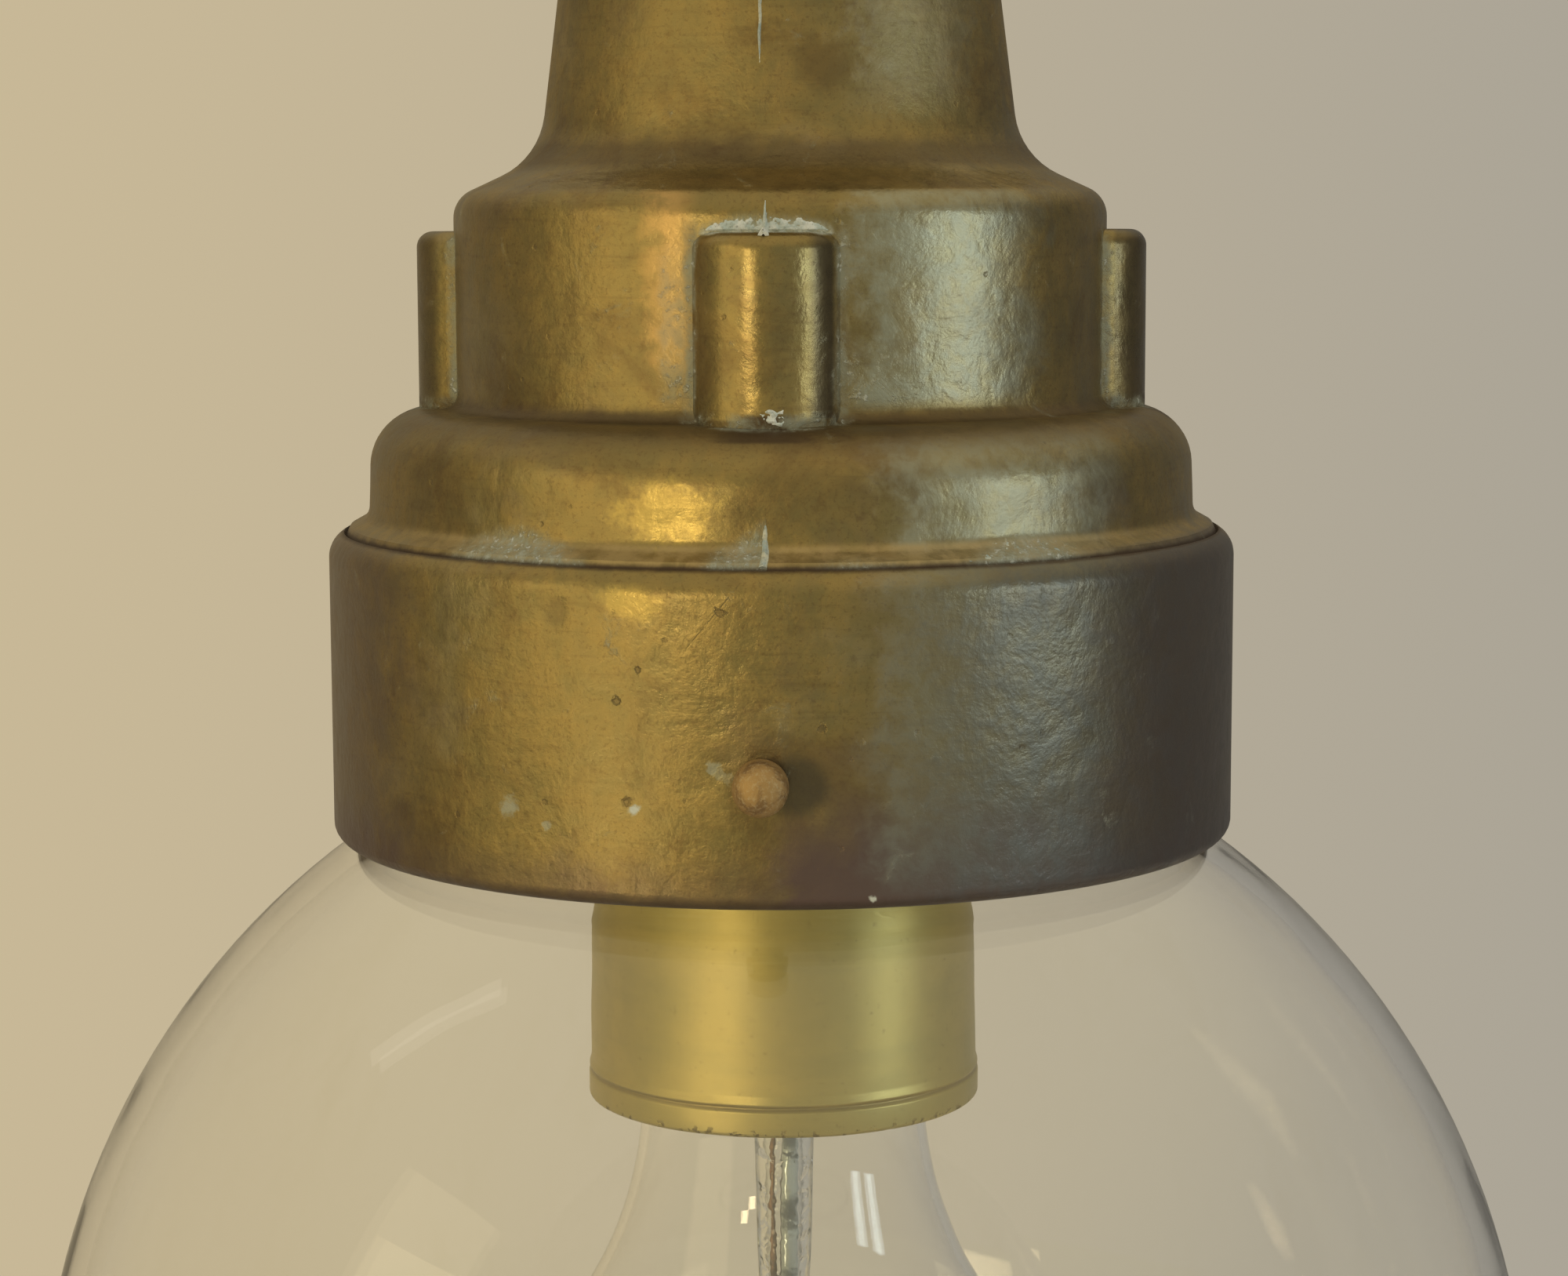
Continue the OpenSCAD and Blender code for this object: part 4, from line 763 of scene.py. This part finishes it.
def makeRod(name, radius, above, below, spread, columns):
    low, high = stemInside["bottom"] + (0.0 if spread else 0.3), stemInside["top"]

    def rule(u, v):  # the ends are drawn in to a point
        along = min(1.0, max(0.0, (v - 0.02) / 0.96))
        z = low + (high - low) * along
        spreading = max(0.0, (z - stemInside["spreadFrom"]) / (high - stemInside["spreadFrom"])) ** 2
        across = below[0] + (above[0] - below[0]) * along + spread * spreading
        back = below[1] + (above[1] - below[1]) * along + 0.10 * math.sin(z * 0.8 + spread)
        wide = radius if 0.0 < v < 1.0 else 0.0
        return (across + wide * math.cos(2.0 * math.pi * u), back + wide * math.sin(2.0 * math.pi * u), z)

    piece = layGrid(name, columns, stemInside["rows"], rule)
    mergeDoubles()
    finishPiece(piece, sheathedWire if spread else silveryGlass, "bulb", "tungsten" if spread else "clear_glass", 50.0)


for rod in stemRods:
    makeRod(**rod)
print("stem filled")

# Deposits and the mould's seams, standing on the bell

crusts = [  # turn in degrees from the front, towards the right; heights and lifts in mm
    {"name": "neckSeam", "turn": (-3.6, -1.1), "height": (78.5, 93.9), "cells": (12, 110), "lift": 1.0, "kind": "hangingSeam"},
    {"name": "tierSeam", "turn": (-0.8, 1.4), "height": (32.5, 36.8), "cells": (18, 44), "lift": 0.80, "kind": "seam"},
    {"name": "drumSpike", "turn": (-1.3, 0.9), "height": (63.3, 66.6), "cells": (14, 40), "lift": 1.0, "kind": "spike"},
    {"name": "bossFootCrust", "turn": (-1.2, 3.2), "height": (45.1, 47.0), "cells": (44, 30), "lift": 0.60, "kind": "lumps"},
    {"name": "slopeCrustRight", "turn": (25.0, 41.0), "height": (32.5, 34.3), "cells": (230, 36), "lift": 0.26, "kind": "lumps"},
    {"name": "slopeCrustLeft", "turn": (-41.0, -25.5), "height": (32.5, 34.5), "cells": (230, 34), "lift": 0.22, "kind": "lumps"},
    {"name": "bossTopCrust", "turn": (-9.7, 10.0), "height": (63.75, 65.9), "cells": (170, 34), "lift": 0.34, "kind": "film"},
]
crustBuried = 0.12  # mm: how far a crust's border goes under the casting's face
crustWall = 0.3
rayFrom = 60.0  # mm from the axis, outside the collar
casting = bpy.data.objects["castBell"]


def crustHeight(kind, u, v, place):
    fine = noise.noise(place / 0.28) * 0.45 + noise.noise(place / 0.7) * 0.55
    if kind in ("seam", "hangingSeam"):  # a thin fin, tapering upwards or, where it hangs, downwards
        taper = (v if kind == "hangingSeam" else 1.0 - v) ** 0.6
        wander = noise.noise(Vector((0.0, 0.0, place.z / 2.2))) * 0.16
        return max(0.0, 1.0 - abs(u - 0.5 - wander) * 2.0 / (0.24 + 0.30 * taper)) ** 0.8 * taper * (0.65 + 0.5 * fine)
    if kind == "spike":
        taper = 1.0 - v
        width = 0.12 + 0.75 * taper ** 1.6
        return max(0.0, 1.0 - abs(u - 0.55) * 2.0 / width) * (0.35 + 0.65 * taper) * (0.85 + 0.25 * fine)
    if kind == "film":  # thickest along its foot, thinning to an arched upper edge
        arch = max(0.0, 1.0 - (2.0 * u - 1.0) ** 2) ** 0.5 * (0.80 + 0.45 * noise.noise(place / 0.9) + 0.25 * fine)
        lumpy = 0.72 + 0.50 * fine + 0.25 * noise.noise(place / 1.7)
        return max(0.0, 1.0 - v / max(0.05, arch)) ** 0.7 * lumpy * min(1.0, 9.0 * v + 0.5)
    edge = min(1.0, 6.0 * min(u, 1.0 - u)) * min(1.0, 6.0 * min(v, 1.0 - v))
    return edge * max(0.0, fine * 0.65 + 0.18 + 0.50 * noise.noise(place / 1.6))


def makeCrust(name, turn, height, cells, lift, kind, material):
    def rule(u, v):  # a ray from outside finds the casting's face
        angle = math.radians(turn[0] + (turn[1] - turn[0]) * u)
        outward = Vector((math.sin(angle), -math.cos(angle), 0.0))
        start = outward * rayFrom + Vector((0, 0, height[0] + (height[1] - height[0]) * v))
        place, normal = casting.ray_cast((start + Vector(lampOrigin)) / 1000.0, -outward)[1:3]
        place = place * 1000.0 - Vector(lampOrigin)
        return place + normal * (lift * crustHeight(kind, u, v, place) - crustBuried)

    piece = layGrid(name, cells[0], cells[1], rule)
    closeShell(piece, crustWall)
    finishPiece(piece, material, "lamp", "patina_brass", 60.0)


def depositFinish(name, pale, green, dark):
    f = Finish(name)
    spot = f.place(lampOrigin)
    patch = f.noise(spot, 1.6, 5.0, 0.65, 0.4)
    grain = f.noise(spot, 0.3, 4.0, 0.7)
    colour = f.mix(patch.rise(0.40, 0.62), pale, green)
    dirtied = f.mix(grain.rise(0.52, 0.70) * 0.6, colour, dark)
    return f.surface(Base_Color=dirtied, Metallic=0.0, Roughness=0.72 + grain * 0.2,
                     Normal=f.bump(grain * 0.05 + patch * 0.05))


paleCrust = depositFinish("paleDeposit", rgb(0.62, 0.62, 0.50), rgb(0.42, 0.47, 0.38), rgb(0.16, 0.14, 0.09))
seamCrust = depositFinish("seamDeposit", rgb(0.52, 0.50, 0.34), rgb(0.30, 0.35, 0.29), rgb(0.16, 0.13, 0.07))
bpy.context.view_layer.update()
for crust in crusts:
    yellower = "Seam" in crust["name"] or "slope" in crust["name"]
    makeCrust(material=seamCrust if yellower else paleCrust, **crust)
print("deposits and seams laid on the bell")

# The bulb's cap has a rolled thread, and the filament is a fine coil

capShape = {"low": -24.0, "high": -2.0, "radius": 13.2, "wall": 0.3, "foot": 1.2, "head": 4.6, "steps": 66,
            "columns": 96,
            "shoulder": [(12.9, -4.9), (12.2, -4.2), (10.4, -3.1), (8.8, -2.25), (7.9, -2.0), (7.0, -2.0)]}
capThread = {"pitch": 3.63, "depth": 0.9, "from": -19.6, "to": -6.6, "fade": 1.2}


def threadRise(z, turn):  # 1 at a crest, 0 at a root, faded out at both ends
    wave = 0.5 + 0.5 * math.cos(2.0 * math.pi * (z / capThread["pitch"] - turn))
    fade = max(0.0, min(1.0, (z - capThread["from"]) / capThread["fade"], (capThread["to"] - z) / capThread["fade"]))
    return 1.0 - (1.0 - wave) * fade * fade * (3.0 - 2.0 * fade)


def makeBulbCap():
    shape = capShape
    radius, start = shape["radius"], shape["low"] + shape["foot"]
    length = shape["high"] - shape["head"] - shape["low"]
    outline = [(radius - 0.2, shape["low"]), (radius, start)]
    outline += [(radius, start + length * i / shape["steps"]) for i in range(1, shape["steps"] + 1)]
    outline += shape["shoulder"]

    def rule(u, v):
        wide, z = outline[round(v * (len(outline) - 1))]
        if capThread["from"] < z < capThread["to"]:
            wide -= capThread["depth"] * (1.0 - threadRise(z, u))
        return around(wide, 2.0 * math.pi * u, z)

    piece = layGrid("bulbCapRolled", shape["columns"], len(outline) - 1, rule)
    closeShell(piece, shape["wall"])
    finishPiece(piece, capMetal, "bulb", "cap_metal", 50.0, ["bulb_cap"])


filamentShape = {"radius": 13.0, "height": -74.0, "from": 4.0, "to": 176.0, "coils": 150, "coil": 0.24, "wire": 0.07}


def makeFilament():  # a fine coil that follows the half ring from lead to lead
    shape = filamentShape
    sweep = math.radians(shape["to"] - shape["from"])

    def rule(u, v):
        turn = math.radians(shape["from"]) + sweep * u
        outward = around(1.0, turn, 0.0)
        along = Vector((-math.sin(turn), math.cos(turn), 0.0))
        phase = 2.0 * math.pi * shape["coils"] * u
        away = outward * math.cos(phase) + Vector((0, 0, math.sin(phase)))
        swing = Vector((0, 0, math.cos(phase))) - outward * math.sin(phase)
        run = along * shape["radius"] * sweep + swing * shape["coil"] * 2.0 * math.pi * shape["coils"]
        across = run.normalized().cross(away)
        bend = 2.0 * math.pi * v
        centre = outward * shape["radius"] + Vector((0, 0, shape["height"])) + away * shape["coil"]
        return centre + (away * math.cos(bend) + across * math.sin(bend)) * shape["wire"]

    piece = layGrid("coiledFilament", shape["coils"] * 10, 6, rule)
    mergeDoubles()
    bpy.ops.object.mode_set(mode="EDIT")
    bpy.ops.mesh.select_all(action="SELECT")
    bpy.ops.mesh.fill_holes(sides=8)
    bpy.ops.object.mode_set(mode="OBJECT")
    finishPiece(piece, filamentMetal, "bulb", "tungsten", 80.0, ["bulb_filament"])


makeBulbCap()
makeFilament()
print("bulb cap and filament made")

# Camera, from a fit to the photographed outlines; mm and degrees, from the lamp's axis and the collar's edge

cameraFit = {"distance": 363.6, "height": 65.6, "pitch": 7.13, "azimuth": 2.3, "aside": 0.24, "roll": -0.22,
             "lens": 78.354, "sensor": 36.0}


def makeCamera():
    fit = cameraFit
    turn = math.radians(fit["azimuth"])
    back = Vector((math.sin(turn), -math.cos(turn), 0.0))  # from the lamp's axis towards the camera
    side = around(1.0, turn, 0.0)
    place = Vector(lampOrigin) + back * fit["distance"] + side * fit["aside"] + Vector((0, 0, fit["height"]))
    data = bpy.data.cameras.new("photoCamera")
    data.sensor_fit, data.sensor_width, data.lens = "HORIZONTAL", fit["sensor"], fit["lens"]
    data.clip_start, data.clip_end = 0.01, 20.0
    camera = bpy.data.objects.new("photoCamera", data)
    bpy.context.scene.collection.objects.link(camera)
    level = Matrix.Rotation(turn, 4, "Z") @ Matrix.Rotation(math.radians(90.0 - fit["pitch"]), 4, "X")
    camera.matrix_world = Matrix.Translation(place / 1000.0) @ level @ Matrix.Rotation(math.radians(fit["roll"]), 4, "Z")
    bpy.context.scene.camera = camera


makeCamera()

# Light: warm lamps and a warm wall on the left, a two-pane window on the right, soft fill above and behind

lampWarm = (1.0, 0.82, 0.48)
lampSky = (0.78, 0.93, 1.0)
lamps = [  # at: degrees to the right of the front, m from the axis, m over the collar's edge; a glow of 1 is white
    {"name": "warmLampLeft", "at": (-27.0, 0.85, 0.12), "size": (0.070, 0.042), "glow": 30.0, "colour": lampWarm},
    {"name": "warmLampRight", "at": (-21.5, 0.85, 0.075), "size": (0.070, 0.042), "glow": 30.0, "colour": lampWarm},
    {"name": "warmLampLower", "at": (-38.0, 0.85, -0.23), "size": (0.20, 0.12), "glow": 4.5, "colour": (1.0, 0.83, 0.50)},
    {"name": "warmLampUpper", "at": (-62.0, 0.80, 0.38), "size": (0.30, 0.30), "glow": 0.5, "colour": (1.0, 0.84, 0.52)},
    {"name": "warmWall", "at": (-54.0, 0.90, 0.14), "size": (0.50, 0.60), "glow": 0.76, "colour": (1.0, 0.83, 0.48)},
    {"name": "windowLeftPane", "at": (60.0, 1.3, 0.13), "size": (0.150, 0.35), "glow": 4.8, "colour": lampSky},
    {"name": "windowRightPane", "at": (72.0, 1.3, 0.13), "size": (0.150, 0.35), "glow": 4.8, "colour": lampSky},
    {"name": "ledgeGleam", "at": (-100.0, 0.94, 0.96), "size": (0.07, 0.42), "glow": 0.7, "colour": (1.0, 0.93, 0.82)},
    {"name": "topFill", "at": (10.0, 0.6, 1.2), "size": (0.9, 0.9), "glow": 0.8, "colour": (1.0, 0.95, 0.88), "fill": True},
    {"name": "backFill", "at": (170.0, 1.6, 0.6), "size": (1.2, 1.2), "glow": 1.2, "colour": (1.0, 0.96, 0.90), "fill": True},
]


def makeLamp(name, at, size, glow, colour, fill=False):  # a fill lights without a shine
    data = bpy.data.lights.new(name, "AREA")
    data.shape, data.size, data.size_y = "RECTANGLE", size[0], size[1]
    data.energy, data.color = glow * math.pi * size[0] * size[1], colour
    lamp = bpy.data.objects.new(name, data)
    bpy.context.scene.collection.objects.link(lamp)
    lamp.visible_glossy = lamp.visible_transmission = not fill
    target = Vector(lampOrigin) / 1000.0
    turn, distance, height = math.radians(at[0]), at[1], at[2]
    place = target + Vector((math.sin(turn) * distance, -math.cos(turn) * distance, height))
    lamp.matrix_world = Matrix.Translation(place) @ (target - place).to_track_quat("-Z", "Y").to_matrix().to_4x4()


for lamp in lamps:
    makeLamp(**lamp)

surround = {"warmSide": rgb(0.585, 0.485, 0.310), "greySide": rgb(0.380, 0.357, 0.308), "frontWarm": rgb(0.560, 0.500, 0.275),
            "frontCool": rgb(0.440, 0.430, 0.330), "ceiling": rgb(0.740, 0.650, 0.430), "shade": rgb(0.100, 0.080, 0.060),
            "warmInMetal": 0.52, "greyInMetal": 0.42, "light": rgb(1.0, 0.96, 0.90), "strength": 0.62}


def makeSurround():  # pale to the camera and through glass; reflections see it dimmer, with its own front and ceiling
    f = Finish("paleRoom", "worlds")
    bpy.context.scene.world = f.material
    dx, dy, dz = f.parts(f.add("ShaderNodeTexCoord", output=0))
    side = dx.rise(-0.35, 0.35)
    wall = f.mix(side, surround["warmSide"], surround["greySide"])
    cameraRay = f.add("ShaderNodeLightPath", output=0)
    glossyRay = f.add("ShaderNodeLightPath", output=3)
    throughRay = f.add("ShaderNodeLightPath", output=6)
    inMetal = side * (surround["greyInMetal"] - surround["warmInMetal"]) + surround["warmInMetal"]
    dimWall = f.mix(1.0 - inMetal, wall, rgb(0.0, 0.0, 0.0))
    behind = f.mix(cameraRay.most(throughRay), dimWall, wall)
    room = f.mix(dy.rise(0.25, -0.40), behind, f.mix(side, surround["frontWarm"], surround["frontCool"]))
    shaded = f.mix(dz.rise(-0.25, -0.85), f.mix(dz.rise(0.25, 0.85), room, surround["ceiling"]), surround["shade"])
    shown = f.add("ShaderNodeBackground", {}, {"Color": f.mix(cameraRay, shaded, wall)})
    light = f.add("ShaderNodeBackground", {}, {"Color": surround["light"], "Strength": surround["strength"]})
    both = f.add("ShaderNodeMixShader", {}, {0: cameraRay.most(glossyRay).most(throughRay), 1: light, 2: shown})
    f.add("ShaderNodeOutputWorld", {}, {"Surface": both})


makeSurround()

# A pale floor under the light, out of the photograph's view; m, its top so far below the collar's edge

floorDisc = {"radius": 0.46, "below": 0.218, "thick": 0.01, "light": rgb(0.62, 0.57, 0.47),
             "dark": rgb(0.58, 0.53, 0.43)}


def makeFloor():
    top = lampOrigin[2] / 1000.0 - floorDisc["below"]
    bpy.ops.mesh.primitive_cylinder_add(vertices=96, radius=floorDisc["radius"], depth=floorDisc["thick"],
                                        location=(0, lampOrigin[1] / 1000.0, top - floorDisc["thick"] / 2))
    floor = bpy.context.object
    floor.name = "floorDisc"
    bpy.ops.object.transform_apply(location=True, rotation=True, scale=True)
    f = Finish("paleFloor")
    spot = f.place()
    cloud = f.noise(spot, 60.0, 3.0, 0.5)
    floor.data.materials.append(f.surface(Base_Color=f.mix(cloud, floorDisc["light"], floorDisc["dark"]),
                                          Roughness=0.8, Normal=f.bump(f.noise(spot, 2.0, 3.0) * 0.03)))


makeFloor()
bpy.context.scene.view_settings.view_transform = "Standard"
print("camera, light and floor set")
